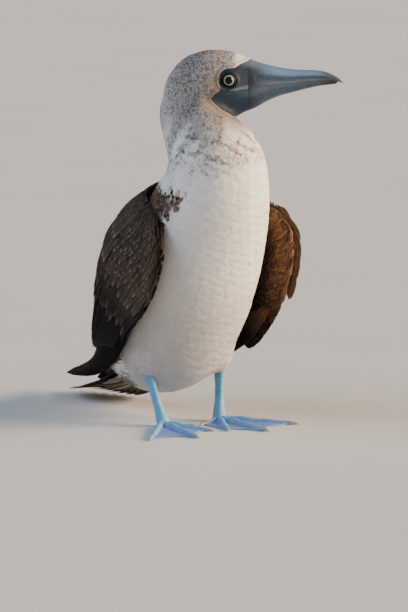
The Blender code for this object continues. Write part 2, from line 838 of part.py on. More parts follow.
def tail_line(reach, samples=24):
    """The tail's middle line, and its left and upper side at each point, over `reach` mm."""
    steps = np.linspace(0, 1, samples)
    droops = np.radians(TAIL_DROOP + (TAIL_END - TAIL_DROOP) * steps)
    roll = math.radians(TAIL_ROLL)
    left = np.array((1.0, 0.0, 0.0))
    points, lefts, tops = [np.array(TAIL_ROOT)], [], []
    for droop, share in zip(droops, steps):
        back = np.array((0.0, math.cos(droop), -math.sin(droop)))
        top = np.cross(left, back)
        turn = roll * (1 - 0.7 * share)
        lefts.append(left * math.cos(turn) - top * math.sin(turn))
        tops.append(top * math.cos(turn) + left * math.sin(turn))
        points.append(points[-1] + back * reach / (samples - 1))
    return np.array(points[:-1]), np.array(lefts), np.array(tops)


def tail_place(along, sideways, up):
    """A place `along` the tail's middle line, in mm, with its left and upper side."""
    points, lefts, tops = tail_line(TAIL_LENGTH)
    spots = np.linspace(0, TAIL_LENGTH, len(points))
    here, left, top = (
        np.array([np.interp(along, spots, rows[:, k]) for k in range(3)])
        for rows in (points, lefts, tops)
    )
    return here + left * sideways + top * up, left, top


def rectrix(name, side, rank, ranks):
    """One tail feather, the outer ones shorter and under the inner ones."""
    fan = math.radians(1.2 + 3.0 * rank)
    length = TAIL_LENGTH * (1 - 0.40 * (rank / (ranks - 1)) ** 1.2)
    offset = side * (1.5 + 3.2 * rank)
    line, across, over = [], [], []
    for along in np.linspace(8, length, 7):
        sideways = offset + side * math.tan(fan) * along
        up = -VANE_STEP * (2 * rank + (side > 0)) * min(1.0, along / 60)
        here, left, top = tail_place(along, sideways, up)
        line.append(here)
        across.append(left * side)
        over.append(top)
    return vane(name, line, across, over, 19.0, tip=0.3)


def tail_covert(name, place, upper):
    """A covert over or under the tail's root, `place` running from -1 at right to 1 at left."""
    length = 92.0 - 16.0 * place**2 if upper else 84.0 - 22.0 * place**2
    way = 1 if upper else -1
    line, across, over = [], [], []
    for f in np.linspace(0, 1, 5):
        along = 6.0 + (length - 6.0) * f
        sideways = place * (19.0 + 3.0 * f)
        rise = (10.0 * (1 - f) + 3.2 + 1.2 * (1 - abs(place))) * way
        here, left, top = tail_place(along, sideways, rise if upper else rise - 5.0 * f)
        line.append(here)
        across.append(left)
        over.append(top * way)
    return vane(name, line, across, over, 17.0, 0.03 * place, tip=0.3)


def add_tail(body, finish):
    """Long wedge of stiff feathers, the middle pair longest, on a short fleshy root."""
    rings = []
    for along, wide, deep in ((-4, 24, 15), (14, 25, 13), (42, 20, 8), (70, 10, 3)):
        here, left, top = tail_place(along, 0.0, 0.0)
        rings.append(
            [
                (here + left * wide * math.cos(a) + top * deep * math.sin(a)) * MM
                for a in (2 * math.pi * j / 14 for j in range(14))
            ]
        )
    tail = loft("tail", rings, finish)
    feathers = [
        tail_covert("covert", rank / (TAIL_COVERTS - 1) * 2 - 1, upper)
        for rank in range(TAIL_COVERTS)
        for upper in (True, False)
    ]
    ranks = TAIL_FEATHERS // 2
    feathers += [
        rectrix("rectrix", side, rank, ranks) for rank in range(ranks) for side in (-1, 1)
    ]
    combine(tail, feathers, "UNION")
    cutters = [grown(body, "rump"), half_space("floor", (0, 0, 0), (0, 0, -1))]
    combine(tail, cutters, "DIFFERENCE", "MANIFOLD")
    keep_largest(tail)


def main():
    clear_scene()
    white = material("white_plumage", (0.78, 0.76, 0.73), 0.85)
    mottled = material("mottled_plumage", (0.52, 0.46, 0.40), 0.85)
    brown = material("brown_feathers", (0.07, 0.045, 0.03), 0.6)
    dark = material("dark_feathers", (0.035, 0.025, 0.02), 0.6)
    blue = material("blue_skin", (0.10, 0.33, 0.62), 0.5)
    slate = material("slate_bill", (0.13, 0.18, 0.25), 0.4)
    amber = material("eye", (0.65, 0.60, 0.30), 0.1)
    horn = material("claw", (0.62, 0.55, 0.48), 0.45)
    body = whole_body(white)
    neck, head = part_body(body, white, mottled)
    add_face(head, amber)
    bill_half("bill_upper", True, slate)
    bill_half("bill_lower", False, slate)
    add_legs(body, blue, horn)
    add_wings(body, brown)
    add_tail(body, dark)
    for obj in (body, neck, head):
        obj.data.shade_smooth()
        obj.data.set_sharp_from_angle(angle=math.radians(35))
    move = Matrix.Translation(-Vector(ORIGIN) * MM)
    for obj in bpy.data.objects:
        obj.data.transform(move)


main()
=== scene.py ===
"""Blue-footed booby, life size: the look of the still model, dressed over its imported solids."""

import math

import bmesh
import bpy
import numpy as np
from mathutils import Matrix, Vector
from mathutils.bvhtree import BVHTree
from mathutils.kdtree import KDTree


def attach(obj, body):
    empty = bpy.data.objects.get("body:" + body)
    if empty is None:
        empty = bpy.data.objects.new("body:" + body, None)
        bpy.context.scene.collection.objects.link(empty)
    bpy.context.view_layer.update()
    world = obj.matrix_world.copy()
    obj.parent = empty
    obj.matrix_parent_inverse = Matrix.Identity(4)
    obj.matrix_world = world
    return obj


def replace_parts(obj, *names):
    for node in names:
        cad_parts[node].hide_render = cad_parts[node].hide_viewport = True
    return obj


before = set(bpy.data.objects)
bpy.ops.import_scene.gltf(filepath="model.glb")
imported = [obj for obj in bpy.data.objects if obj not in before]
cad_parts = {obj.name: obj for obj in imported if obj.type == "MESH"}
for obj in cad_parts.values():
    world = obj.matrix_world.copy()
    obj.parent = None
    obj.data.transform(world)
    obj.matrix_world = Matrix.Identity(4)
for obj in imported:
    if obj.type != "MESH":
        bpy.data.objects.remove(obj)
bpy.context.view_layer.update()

# The view. The photograph looks a little down on the bird's right breast, with its head in
# profile, and shows 1.22 mm of the bird in each pixel of a picture of 408 by 612.
MM = 0.001
STAND_MM = (22, 82, 0)  # the solids' origin, from the floor point between the ankles
STAND = Vector(STAND_MM) * MM


def spot(*mm):
    """A place given in mm from the floor point between the ankles."""
    return Vector(mm) * MM - STAND


VIEW_TURN, VIEW_RISE = math.radians(-33), math.radians(9)
VIEW_DISTANCE = 5.0
PIXEL = 1.22 * MM
PICTURE = (408, 612)
STAND_PIXEL = (192, 424)  # where that floor point shows in the picture
FILM_WIDTH = 36.0

view_right = Vector((math.cos(VIEW_TURN), math.sin(VIEW_TURN), 0))
view_back = Vector((math.sin(VIEW_TURN) * math.cos(VIEW_RISE),
                    -math.cos(VIEW_TURN) * math.cos(VIEW_RISE), math.sin(VIEW_RISE)))
view_up = view_back.cross(view_right)
aim = spot(0, 0, 0) + view_right * (PICTURE[0] / 2 - STAND_PIXEL[0]) * PIXEL
aim += view_up * (STAND_PIXEL[1] - PICTURE[1] / 2) * PIXEL
camera = bpy.data.objects.new("camera", bpy.data.cameras.new("camera"))
bpy.context.scene.collection.objects.link(camera)
camera.data.sensor_width = FILM_WIDTH
camera.data.lens = FILM_WIDTH * VIEW_DISTANCE / (PICTURE[1] * PIXEL)
camera.data.clip_end = 20 * VIEW_DISTANCE
camera.location = aim + view_back * VIEW_DISTANCE
camera.rotation_euler = (-view_back).to_track_quat("-Z", "Y").to_euler()
bpy.context.scene.camera = camera

# The floor and the light. A plain pale matt floor runs past the edges of the picture. A cool
# soft light stands at the bird's right, a warm one low at its left, and a weak one behind the
# camera.
FLOOR_SIZE = 60.0
FLOOR_TONES = ((0.63, 0.63, 0.63), (0.65, 0.65, 0.645))
COOL_LIGHT, WARM_LIGHT = (0.66, 0.82, 1.0), (1.0, 0.72, 0.47)
FILL_LIGHT, SKY_LIGHT = (0.92, 0.96, 1.0), (0.64, 0.80, 1.0)
SKY_STRENGTH = 0.19


def finish(name, roughness, colour=(0.8, 0.8, 0.8), **sockets):
    """A material, and its shader with the sockets that are the same all over."""
    made = bpy.data.materials.new(name)
    made.use_nodes = True
    shader = made.node_tree.nodes["Principled BSDF"]
    shader.inputs["Base Color"].default_value = (*colour, 1)
    shader.inputs["Roughness"].default_value = roughness
    for socket, value in sockets.items():
        shader.inputs[socket.replace("_", " ")].default_value = value
    return made, shader


def node(made, kind, inputs=(), **settings):
    """One node, with sockets linked or set through `inputs`."""
    built = made.node_tree.nodes.new(kind)
    for key, value in settings.items():
        setattr(built, key, value)
    for key, value in dict(inputs).items():
        if isinstance(value, bpy.types.NodeSocket):
            made.node_tree.links.new(value, built.inputs[key])
        else:
            built.inputs[key].default_value = value
    return built


def blend(made, share, first, second, kind="MIX"):
    """Two colours mixed by a share."""
    colours = [c if isinstance(c, bpy.types.NodeSocket) else (*c, 1) for c in (first, second)]
    mixed = node(made, "ShaderNodeMix", {0: share, 6: colours[0], 7: colours[1]},
                 data_type="RGBA", blend_type=kind)
    return mixed.outputs[2]


def smooth_step(made, value, low, high, top=1.0):
    """0 where value is under low, up to top where it is over high."""
    stepped = node(made, "ShaderNodeMapRange", {0: value, 1: low, 2: high, 3: 0.0, 4: top},
                   interpolation_type="SMOOTHSTEP")
    return stepped.outputs[0]


def model_place(made):
    """Where each point lies on the model, in metres."""
    return node(made, "ShaderNodeTexCoord").outputs["Object"]


def grain(made, scale, detail=3.0):
    """Noise that stays with the model, `scale` lumps to a metre."""
    noise = node(made, "ShaderNodeTexNoise", {"Vector": model_place(made), "Scale": scale,
                 "Detail": detail, "Roughness": 0.55})
    return noise.outputs[0]


def feed(made, shader, socket, value):
    """Links a value to one of a shader's sockets."""
    made.node_tree.links.new(value, shader.inputs[socket])


def bump(made, shader, height, distance, strength=1.0):
    """Relief on a shader, `distance` metres deep."""
    relief = node(made, "ShaderNodeBump", {"Height": height, "Distance": distance,
                  "Strength": strength})
    feed(made, shader, "Normal", relief.outputs[0])


def floor_finish():
    """Matt plaster, faintly cloudy and faintly rough."""
    made, shader = finish("floor", roughness=0.85)
    cloudy = smooth_step(made, grain(made, 3.0), 0.3, 0.7)
    feed(made, shader, "Base Color", blend(made, cloudy, *FLOOR_TONES))
    bump(made, shader, grain(made, 400.0), 0.0002, 0.3)
    return made


bpy.ops.mesh.primitive_plane_add(size=FLOOR_SIZE)
floor = bpy.context.object
floor.name = "floor"
floor.data.materials.append(floor_finish())


def soft_light(name, right, back, up, strength, spread, colour):
    """A distant lamp, placed by how far it stands to the view's right, its near side and above."""
    lamp = bpy.data.lights.new(name, "SUN")
    lamp.energy = strength
    lamp.angle = math.radians(spread)
    lamp.color = colour
    held = bpy.data.objects.new(name, lamp)
    bpy.context.scene.collection.objects.link(held)
    toward = view_right * right + Vector((view_back.x, view_back.y, 0)) * back
    held.rotation_euler = (toward + Vector((0, 0, up))).to_track_quat("Z", "Y").to_euler()


soft_light("key", -0.75, 0.25, 0.62, strength=1.7, spread=45, colour=COOL_LIGHT)
soft_light("low_sun", 0.97, 0.07, 0.27, strength=10.3, spread=34, colour=WARM_LIGHT)
soft_light("fill", 0.1, 0.9, 0.5, strength=0.4, spread=60, colour=FILL_LIGHT)
world = bpy.data.worlds.new("studio")
world.use_nodes = True
world.node_tree.nodes["Background"].inputs[0].default_value = (*SKY_LIGHT, 1)
world.node_tree.nodes["Background"].inputs[1].default_value = SKY_STRENGTH
bpy.context.scene.world = world

# The skin. A thin hide over the body from the thighs to the bill, slate blue and bare on the face
# and chin, downy under the plumage elsewhere. It is one closed surface, in the form of the
# plumage less the plumage's depth, with the lids raised round the eyes.
HEAD_MIDDLE = spot(16, -22.3, 416.7)
HEAD_TURN = math.radians(57)
HEAD_AXES = np.array([(math.sin(HEAD_TURN), -math.cos(HEAD_TURN), 0),
                      (math.cos(HEAD_TURN), math.sin(HEAD_TURN), 0), (0, 0, 1)])
SPINE = [(54.6, -47.4, 415), (36, -35, 419), (20, -25, 417), (9, -18, 406), (5, -15, 390),
         (3, -31, 367), (2, -46, 346), (1, -55, 322), (0, -55, 300), (0, -46, 273),
         (0, -30, 237), (0, -10, 196), (0, 13, 152), (0, 40, 111), (0, 67, 81), (0, 94, 62),
         (0, 118, 51), (0, 150, 40), (0, 190, 30)]
# The bare face's edge in profile: forward and up from the middle of the skull, mm
FACE_EDGE = [(47, 33), (41, 29), (33.5, 26.5), (26, 22), (14, 21.3), (8.7, 16), (6.5, 9.5),
             (7.3, 3.8), (9.8, -0.4), (8.2, -4.5), (2.2, -7.7), (-2.7, -12.6), (2.2, -18.4),
             (10.6, -25.5), (20.8, -31.8), (25, -35), (30, -36.2), (90, -36.2), (90, 33)]
EYE_PLACE = (17.8, 24.3, 8.0)
EYE_RADIUS = 8.6
EYE_LOOK = (0.16, 1.0, 0.04)
LID_REACH, EYE_REACH = 7.4, 16.0  # from the eye's middle to its lid's edge and past its creases
# The mouth's line over the cheek and along the bill
GAPE = [(18.5, -6.2), (26, -5.2), (34, -4.0), (45, -2.9), (53, -0.6), (66, 1.2), (80, 1.9)]
ANKLES = {"right": (-47, 24, 60), "left": (44, 6, 60)}
SKIN_VOXEL = 2.2
SKIN_END = 60  # forward of the skull's middle, inside the bill


def smooth_rows(rows, count):
    """`count` rows read evenly from a smooth curve through the given rows."""
    rows = np.array(rows, float)
    slopes = np.gradient(rows, axis=0)
    spots = np.linspace(0, len(rows) - 1, count)
    first = np.minimum(spots.astype(int), len(rows) - 2)
    f = (spots - first)[:, None]
    return (rows[first] * (2 * f**3 - 3 * f**2 + 1) + slopes[first] * (f**3 - 2 * f**2 + f)
            + rows[first + 1] * (3 * f**2 - 2 * f**3) + slopes[first + 1] * (f**3 - f**2))


def step(value, low, high):
    """0 under low, 1 over high, and smooth in between."""
    share = np.clip((np.asarray(value, float) - low) / (high - low), 0, 1)
    return share * share * (3 - 2 * share)


def unit(vectors):
    """Each vector at a length of 1."""
    return vectors / np.maximum(np.linalg.norm(vectors, axis=-1, keepdims=True), 1e-12)


def ankle_mm(points):
    """Places in mm from the floor point between the ankles."""
    return (np.asarray(points) + np.array(STAND)) / MM


def head_mm(points):
    """Forward, left and up of the skull's middle, mm."""
    return (np.asarray(points) - np.array(HEAD_MIDDLE)) @ HEAD_AXES.T / MM


def from_ankles(points):
    """Places in metres, of points in mm from the floor point between the ankles."""
    return (np.asarray(points) - np.array(STAND_MM)) * MM


def from_head(local):
    """Places in metres, of points in mm in the head's own frame."""
    return np.array(HEAD_MIDDLE) + np.asarray(local) @ HEAD_AXES * MM


def edge_distance(flat, outline):
    """Distance from an outline, below 0 inside it. Both are 2D, in mm."""
    outline = np.array(outline, float)
    nearest = np.full(len(flat), 1e9)
    inside = np.zeros(len(flat), bool)
    for a, b in zip(outline, np.roll(outline, -1, axis=0)):
        along = np.clip(((flat - a) @ (b - a)) / ((b - a) @ (b - a)), 0, 1)
        gap = np.linalg.norm(flat - a - along[:, None] * (b - a), axis=1)
        nearest = np.minimum(nearest, gap)
        rises = (a[1] > flat[:, 1]) != (b[1] > flat[:, 1])
        height = b[1] - a[1] if b[1] != a[1] else 1e-9
        crossing = a[0] + (flat[:, 1] - a[1]) * (b[0] - a[0]) / height
        inside ^= rises & (flat[:, 0] < crossing)
    return np.where(inside, -nearest, nearest)


def face_gap(points):
    """Distance in mm from the bare face's edge, below 0 on the face."""
    local = head_mm(points)
    gap = edge_distance(local[:, [0, 2]], FACE_EDGE)
    return np.where(local[:, 2] < -60, 40.0, gap)


spine_path = smooth_rows(SPINE, 120)
spine_runs = np.concatenate([[0], np.cumsum(np.linalg.norm(np.diff(spine_path, axis=0), axis=1))])
spine_ways = unit(np.gradient(spine_path, axis=0))


def spine_place(points):
    """Share of the way from bill to tail, angle round the spine and the way the feathers run."""
    shares, angles, ways = [], [], []
    for block in np.array_split(ankle_mm(points), max(1, len(points) // 20000)):
        gaps = np.linalg.norm(block[:, None] - spine_path[None], axis=2)
        weight = np.exp(-((gaps - gaps.min(1, keepdims=True)) / 14.0) ** 2)
        weight /= weight.sum(1, keepdims=True)
        middle = weight @ spine_path
        way = unit(weight @ spine_ways)
        left = unit(np.cross(way, np.cross((1.0, 0, 0), way)))
        rear = np.cross(left, way)
        offset = block - middle
        shares.append(weight @ spine_runs / spine_runs[-1])
        angles.append(np.arctan2((offset * left).sum(1), (offset * rear).sum(1)))
        ways.append(way)
    return np.concatenate(shares), np.concatenate(angles), np.concatenate(ways)


def apply_modifiers(obj):
    """Turns what the modifiers make into the object's own mesh."""
    graph = bpy.context.evaluated_depsgraph_get()
    mesh = bpy.data.meshes.new_from_object(obj.evaluated_get(graph))
    obj.modifiers.clear()
    obj.data = mesh


def remeshed(obj, voxel, rounds):
    """Turns what an object holds into one even, smooth surface."""
    even = obj.modifiers.new("even", "REMESH")
    even.mode = "VOXEL"
    even.voxel_size = voxel * MM
    soften = obj.modifiers.new("soften", "SMOOTH")
    soften.iterations = rounds
    apply_modifiers(obj)
    obj.data.shade_smooth()
    return obj


def read(mesh, field):
    """The places or the normals of all of a mesh's points."""
    values = np.zeros(len(mesh.vertices) * 3)
    mesh.vertices.foreach_get(field, values)
    return values.reshape(-1, 3)


def store(mesh, name, kind, values):
    """Keeps one value for each point of a mesh, for its material to read."""
    layer = mesh.attributes.new(name, kind, "POINT")
    field = {"FLOAT": "value", "FLOAT_COLOR": "color", "FLOAT_VECTOR": "vector"}[kind]
    values = np.asarray(values, np.float32)
    if kind == "FLOAT_COLOR":
        values = np.concatenate([values, np.ones((len(values), 1), np.float32)], axis=1)
    layer.data.foreach_set(field, values.ravel())


def ripple(points, size, seed):
    """A smooth random field from about -1 to 1 whose lumps are `size` mm across."""
    draw = np.random.default_rng(seed)
    total = np.zeros(len(points))
    for _ in range(7):
        way = unit(draw.normal(size=3)) * draw.uniform(0.6, 1.5) * math.pi / size
        total += np.sin(points / MM @ way + draw.uniform(0, 6.28))
    return total / 2.6


WHITE = np.array((0.80, 0.79, 0.77))
CREAM = np.array((0.72, 0.68, 0.62))
HEAD_GREY = np.array((0.205, 0.192, 0.186))
COLLAR = np.array((0.23, 0.185, 0.155))
BROWN = np.array((0.048, 0.033, 0.025))
# The border of the brown upper back: heights in mm, and degrees round from the spine
MANTLE_FRONT = ((150, 240, 264, 272, 288, 304), (60, 62, 72, 92, 104, 106))


def marking(points):
    """Ground colour of the plumage at each place, with painted shade low on the belly and partly
    over the throat, and how strongly each feather is flecked.
    """
    mm = ankle_mm(points)
    local = head_mm(points)
    angle = spine_place(points)[1]
    behind = np.degrees(np.abs(angle))  # 0 along the back, 180 along the breast
    patchy = ripple(points, 16, 3)
    height = mm[:, 2] + 6 * patchy
    crown = step(height, 346, 378) * (1 - step(local[:, 0] - 0.25 * local[:, 2], 16, 26))
    crown *= 0.95 - 0.35 * step(-local[:, 0], 36, 58)
    neck = step(height, 318, 338) * (1 - step(height, 350, 378))
    collar = step(height, 334, 346) * (1 - step(height, 362, 374)) * step(behind, 60, 100)
    collar *= step(ripple(points, 7, 12) + 0.4 * ripple(points, 3, 13), 0.1, 0.9)
    fleck = crown * (0.85 + 0.2 * patchy) + neck * (0.42 + 0.35 * patchy) + 0.5 * collar
    front = np.interp(mm[:, 2], *MANTLE_FRONT)
    edge = mm[:, 2] + 4.0 * ripple(points, 7, 4)
    mantle = 1 - step(edge, 300, 305)
    torn = 7 * ripple(points, 8, 16) + 3 * ripple(points, 4, 6)
    mantle *= 1 - step(behind + 3 * patchy + torn, front - 5, front + 2)
    tail_end = step(mm[:, 1] + 8 * patchy, 104, 128)
    ground = WHITE + (CREAM - WHITE) * (0.08 * (1 + patchy))[:, None]
    ground = ground + (HEAD_GREY - ground) * np.clip(0.62 * crown + 0.20 * fleck, 0, 0.85)[:, None]
    # Brown round the bare face's lower edge and over the throat: partly the plumage's own brown,
    # partly painted shade on the throat.
    cheek = np.exp(-(np.maximum(face_gap(points), 0) / 13.0) ** 2) * (1 - step(local[:, 2], 8, 24))
    ground = ground + (COLLAR - ground) * (0.95 * cheek)[:, None]
    ground = ground + (COLLAR - ground) * (0.75 * collar)[:, None]
    # Painted shade: the plumage is made up to 40% darker low on the belly, where shade falls under
    # the body.
    shade = 0.40 * (1 - step(mm[:, 2], 100, 250))  # low on the belly
    ground = ground * (1 - shade)[:, None]
    ground = ground + (BROWN - ground) * mantle[:, None]
    mottle = tail_end * (0.35 + 0.3 * ripple(points, 7, 5)) * (1 - mantle)
    ground = ground + (CREAM * 0.55 - ground) * np.clip(mottle, 0, 0.8)[:, None]
    return ground, np.clip(fleck, 0, 1), mantle


def coat_depth(points):
    """How thick the plumage lies at each place, mm."""
    mm = ankle_mm(points)
    depth = 1.7 + 1.3 * (1 - step(mm[:, 2], 345, 390)) + 1.0 * (1 - step(mm[:, 2], 280, 340))
    depth *= step(face_gap(points), -0.5, 7.0)
    for ankle in ANKLES.values():
        gap = np.linalg.norm(mm - ankle, axis=1)
        depth = np.minimum(depth, 1.3 + 0.14 * np.maximum(gap - 8.0, 0))
    return depth


def sums(made, operation, *values):
    """A Math node's result."""
    return node(made, "ShaderNodeMath", enumerate(values), operation=operation).outputs[0]


def stored(made, name, output="Fac"):
    """What `store` keeps on a mesh under a name."""
    return node(made, "ShaderNodeAttribute", attribute_name=name).outputs[output]


def skin_finish():
    """Slate-blue bare skin with fine creases, and down where the plumage covers it."""
    made, shader = finish("skin", roughness=0.55, Specular_IOR_Level=0.12)
    bare = stored(made, "bare")
    down = stored(made, "tint", "Color")
    face = stored(made, "face", "Color")
    creased = stored(made, "creased")
    cloudy = smooth_step(made, grain(made, 220.0, 4.0), 0.35, 0.7)
    slate = blend(made, sums(made, "MULTIPLY", cloudy, 0.5), face, (0.55, 0.58, 0.62), "MULTIPLY")
    pores = smooth_step(made, grain(made, 1100.0, 2.0), 0.48, 0.66, 0.05)
    slate = blend(made, sums(made, "MULTIPLY", pores, creased), slate, (0.20, 0.28, 0.37))
    colour = blend(made, smooth_step(made, bare, 0.35, 0.65), down, slate)
    feed(made, shader, "Base Color", colour)
    feed(made, shader, "Roughness", sums(made, "MULTIPLY_ADD", bare, -0.38, 0.9))
    creases = node(made, "ShaderNodeTexVoronoi", {"Vector": model_place(made), "Scale": 650.0},
                   feature="DISTANCE_TO_EDGE").outputs["Distance"]
    height = sums(made, "ADD", smooth_step(made, creases, 0.0, 0.16, 0.35),
                  sums(made, "MULTIPLY", grain(made, 900.0), 0.6))
    bump(made, shader, sums(made, "MULTIPLY", height, creased), 0.00018, 0.6)
    return made


FACE_SLATE = np.array((0.010, 0.022, 0.042))
FACE_PALE = np.array((0.090, 0.150, 0.220))
FACE_DARK = np.array((0.005, 0.008, 0.012))


def face_colour(points):
    """Dark slate, darker round the eye, with a painted highlight of paler blue by the forehead, and
    paler along the mouth's ridge.
    """
    local = head_mm(points)
    ahead, up = local[:, 0], local[:, 2]
    colour = np.repeat(FACE_SLATE[None], len(points), axis=0)
    # Painted highlight: paler blue over the upper face by the forehead, where the face runs onto
    # the bill's base.
    brow_highlight = step(up - 26 + 0.16 * (ahead - 50), -9, 2) * step(ahead, 22, 44)
    colour = colour + (FACE_PALE - colour) * (0.9 * brow_highlight)[:, None]
    line = np.interp(ahead, *zip(*GAPE))
    ridge = np.exp(-((up - line - 2.2) / 1.5) ** 2) * step(ahead, 16, 24)
    colour = colour + (FACE_PALE * 1.2 - colour) * (0.85 * ridge)[:, None]
    under = np.exp(-((up - line + 6.0) / 4.0) ** 2) * step(ahead, 24, 50)
    colour = colour + (FACE_PALE * 0.6 - colour) * (0.6 * under)[:, None]
    eye = np.hypot(ahead - EYE_PLACE[0], up - EYE_PLACE[2])
    return colour + (FACE_DARK - colour) * ((1 - step(eye, 8.0, 14.0)) * 0.85)[:, None]


def body_skin():
    """The flesh solids, the eyes and the root of the bill joined into one even surface."""
    joined = bmesh.new()
    for name in ("bill_upper", "bill_lower"):
        joined.from_mesh(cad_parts[name].data)
    ends = bmesh.ops.bisect_plane(joined, geom=joined.verts[:] + joined.edges[:] + joined.faces[:],
                                  plane_co=from_head((SKIN_END, 0, 0)), plane_no=HEAD_AXES[0],
                                  clear_outer=True)
    bmesh.ops.edgeloop_fill(joined, edges=[e for e in ends["geom_cut"]
                                           if isinstance(e, bmesh.types.BMEdge)])
    for name in ("torso", "neck", "head", "eye_left", "eye_right"):
        joined.from_mesh(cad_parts[name].data)
    mesh = bpy.data.meshes.new("skin")
    joined.to_mesh(mesh)
    joined.free()
    skin = bpy.data.objects.new("skin", mesh)
    bpy.context.scene.collection.objects.link(skin)
    skin = remeshed(skin, SKIN_VOXEL, rounds=10)
    local = head_mm(read(skin.data, "co"))
    cut = bmesh.new()
    cut.from_mesh(skin.data)
    cut.verts.ensure_lookup_table()
    for side in (-1, 1):
        eye = np.array(EYE_PLACE) * (1, side, 1)
        near = np.linalg.norm(local - eye, axis=1) < EYE_REACH + 1
        around = [e for e in cut.edges if all(
            v.index < len(near) and near[v.index] for v in e.verts)]
        bmesh.ops.subdivide_edges(cut, edges=around, cuts=3, use_grid_fill=True, smooth=0.4)
    cut.to_mesh(skin.data)
    cut.free()
    return skin


def press_eyes(local):
    """Sinks the skin round each eye and raises its lids. Places are the head's own, in mm."""
    for side in (-1, 1):
        look = unit(np.array(EYE_LOOK) * (1, side, 1))
        middle = np.array(EYE_PLACE) * (1, side, 1)
        offset = local - middle
        height = offset @ look
        flat = offset - height[:, None] * look
        out = np.linalg.norm(flat, axis=1)
        near = (out < EYE_REACH) & (height > 0)
        almond = out * (1 + 0.10 * (flat[:, 2] / np.maximum(out, 1e-6)) ** 2)
        ball = np.sqrt(np.maximum(EYE_RADIUS**2 - np.minimum(almond, LID_REACH) ** 2, 0))
        lid = np.exp(-((almond - 7.3) / 0.75) ** 2) * 1.05 + 0.12
        crease = -0.5 * np.exp(-((almond - 9.2) / 0.7) ** 2)
        pressed = np.where(almond < 6.5, 1.5, ball + lid + crease - 0.2)
        rim = math.sqrt(EYE_RADIUS**2 - LID_REACH**2) - 0.1
        outer = rim + crease + (height - rim) * step(almond, 9.0, 14.5)
        wanted = np.where(almond < 9.0, pressed, outer)
        local = local + look * np.where(near, wanted - height, 0)[:, None]
    return local


skin = body_skin()
skin_points = read(skin.data, "co")
skin_normals = read(skin.data, "normal")
local = head_mm(skin_points)
ahead, above = local[:, 0], local[:, 2] - np.interp(local[:, 0], *zip(*GAPE))
on_cheek = step(ahead, 16, 21) * (np.abs(local[:, 1]) > 6) * (face_gap(skin_points) < 0)
groove = 1.1 * np.exp(-(above / 1.1) ** 2) * (1 - step(ahead, 44, 48))
lip = np.exp(-((above - 2.4) / 1.4) ** 2) * (1 - step(ahead, 30, 41))
sunk = coat_depth(skin_points) + on_cheek * (groove - lip) + 1.5 * step(ahead, 45, 50)
skin_points = skin_points - skin_normals * sunk[:, None] * MM
skin_points = from_head(press_eyes(head_mm(skin_points)))
skin.data.vertices.foreach_set("co", skin_points.ravel())
skin.data.update()
store(skin.data, "tint", "FLOAT_COLOR", marking(skin_points)[0] * 0.9)
store(skin.data, "face", "FLOAT_COLOR", face_colour(skin_points))
store(skin.data, "creased", "FLOAT", 1 - step(ahead, 28, 40))
store(skin.data, "bare", "FLOAT", 1 - step(face_gap(skin_points), -0.4, 1.4))
skin.data.materials.clear()
skin.data.materials.append(skin_finish())
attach(skin, "root")
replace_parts(skin, "torso", "neck", "head")

# The plumage of the body. Small soft feathers grow from the skin in an even lie from bill to
# tail, short on the head and longer down the body, each a fan of narrow strands from one root.
# The crown and neck carry dark flecks, and the upper back brown scales with pale fringes.
RUSTY = np.array((0.115, 0.062, 0.040))
FLECK = np.array((0.070, 0.052, 0.042))
SCALE_FRINGE = (0.27, 0.235, 0.205)
DOWN_ROWS = np.array((0.0, 0.20, 0.70, 1.0))
SCALE_ROWS = np.array((0.0, 0.22, 0.45, 0.68, 0.88, 1.0))
SCALE_SHAPE = np.array((0.5, 0.85, 1.0, 0.95, 0.68, 0.0))
BELLY_HEIGHTS, BREAST_HEIGHTS, BACK_HEIGHTS = (20, 205), (205, 325), (20, 325)
NECK_HEIGHTS, HEAD_HEIGHTS = (325, 388), (388, 520)
BAKE_PATCH = 0.003  # a feather's patch on the map named OFBake
ROOT_DEPTH = -0.2  # below the skin, mm


def vane_faces(rows, columns, flat):
    """Point numbers of one closed vane's faces: those on top, then those under it."""
    low = (rows - 1) * columns
    tip = low if flat else low + (rows - 1) * (columns - 2)

    def under(r, c):
        if c in (0, columns - 1):
            return r * columns + c
        return low + r * (columns - 2) + c - 1

    above, below = [], []
    steps = [(0, columns - 1)] if flat else [(c, c + 1) for c in range(columns - 1)]
    for r in range(rows - 1):
        for c in range(columns - 1):
            a, b = r * columns + c, (r + 1) * columns + c
            above.append((a, a + 1, b + 1, b) if r < rows - 2 else (a, a + 1, tip))
        for c, d in steps:
            pair = (under(r + 1, c), under(r + 1, d)) if r < rows - 2 else (tip,)
            below.append((under(r, c), *pair, under(r, d)))
    root = list(range(columns - 1, -1, -1))
    if not flat:
        root += [under(0, c) for c in range(1, columns - 1)]
    return above, below + [tuple(root)]


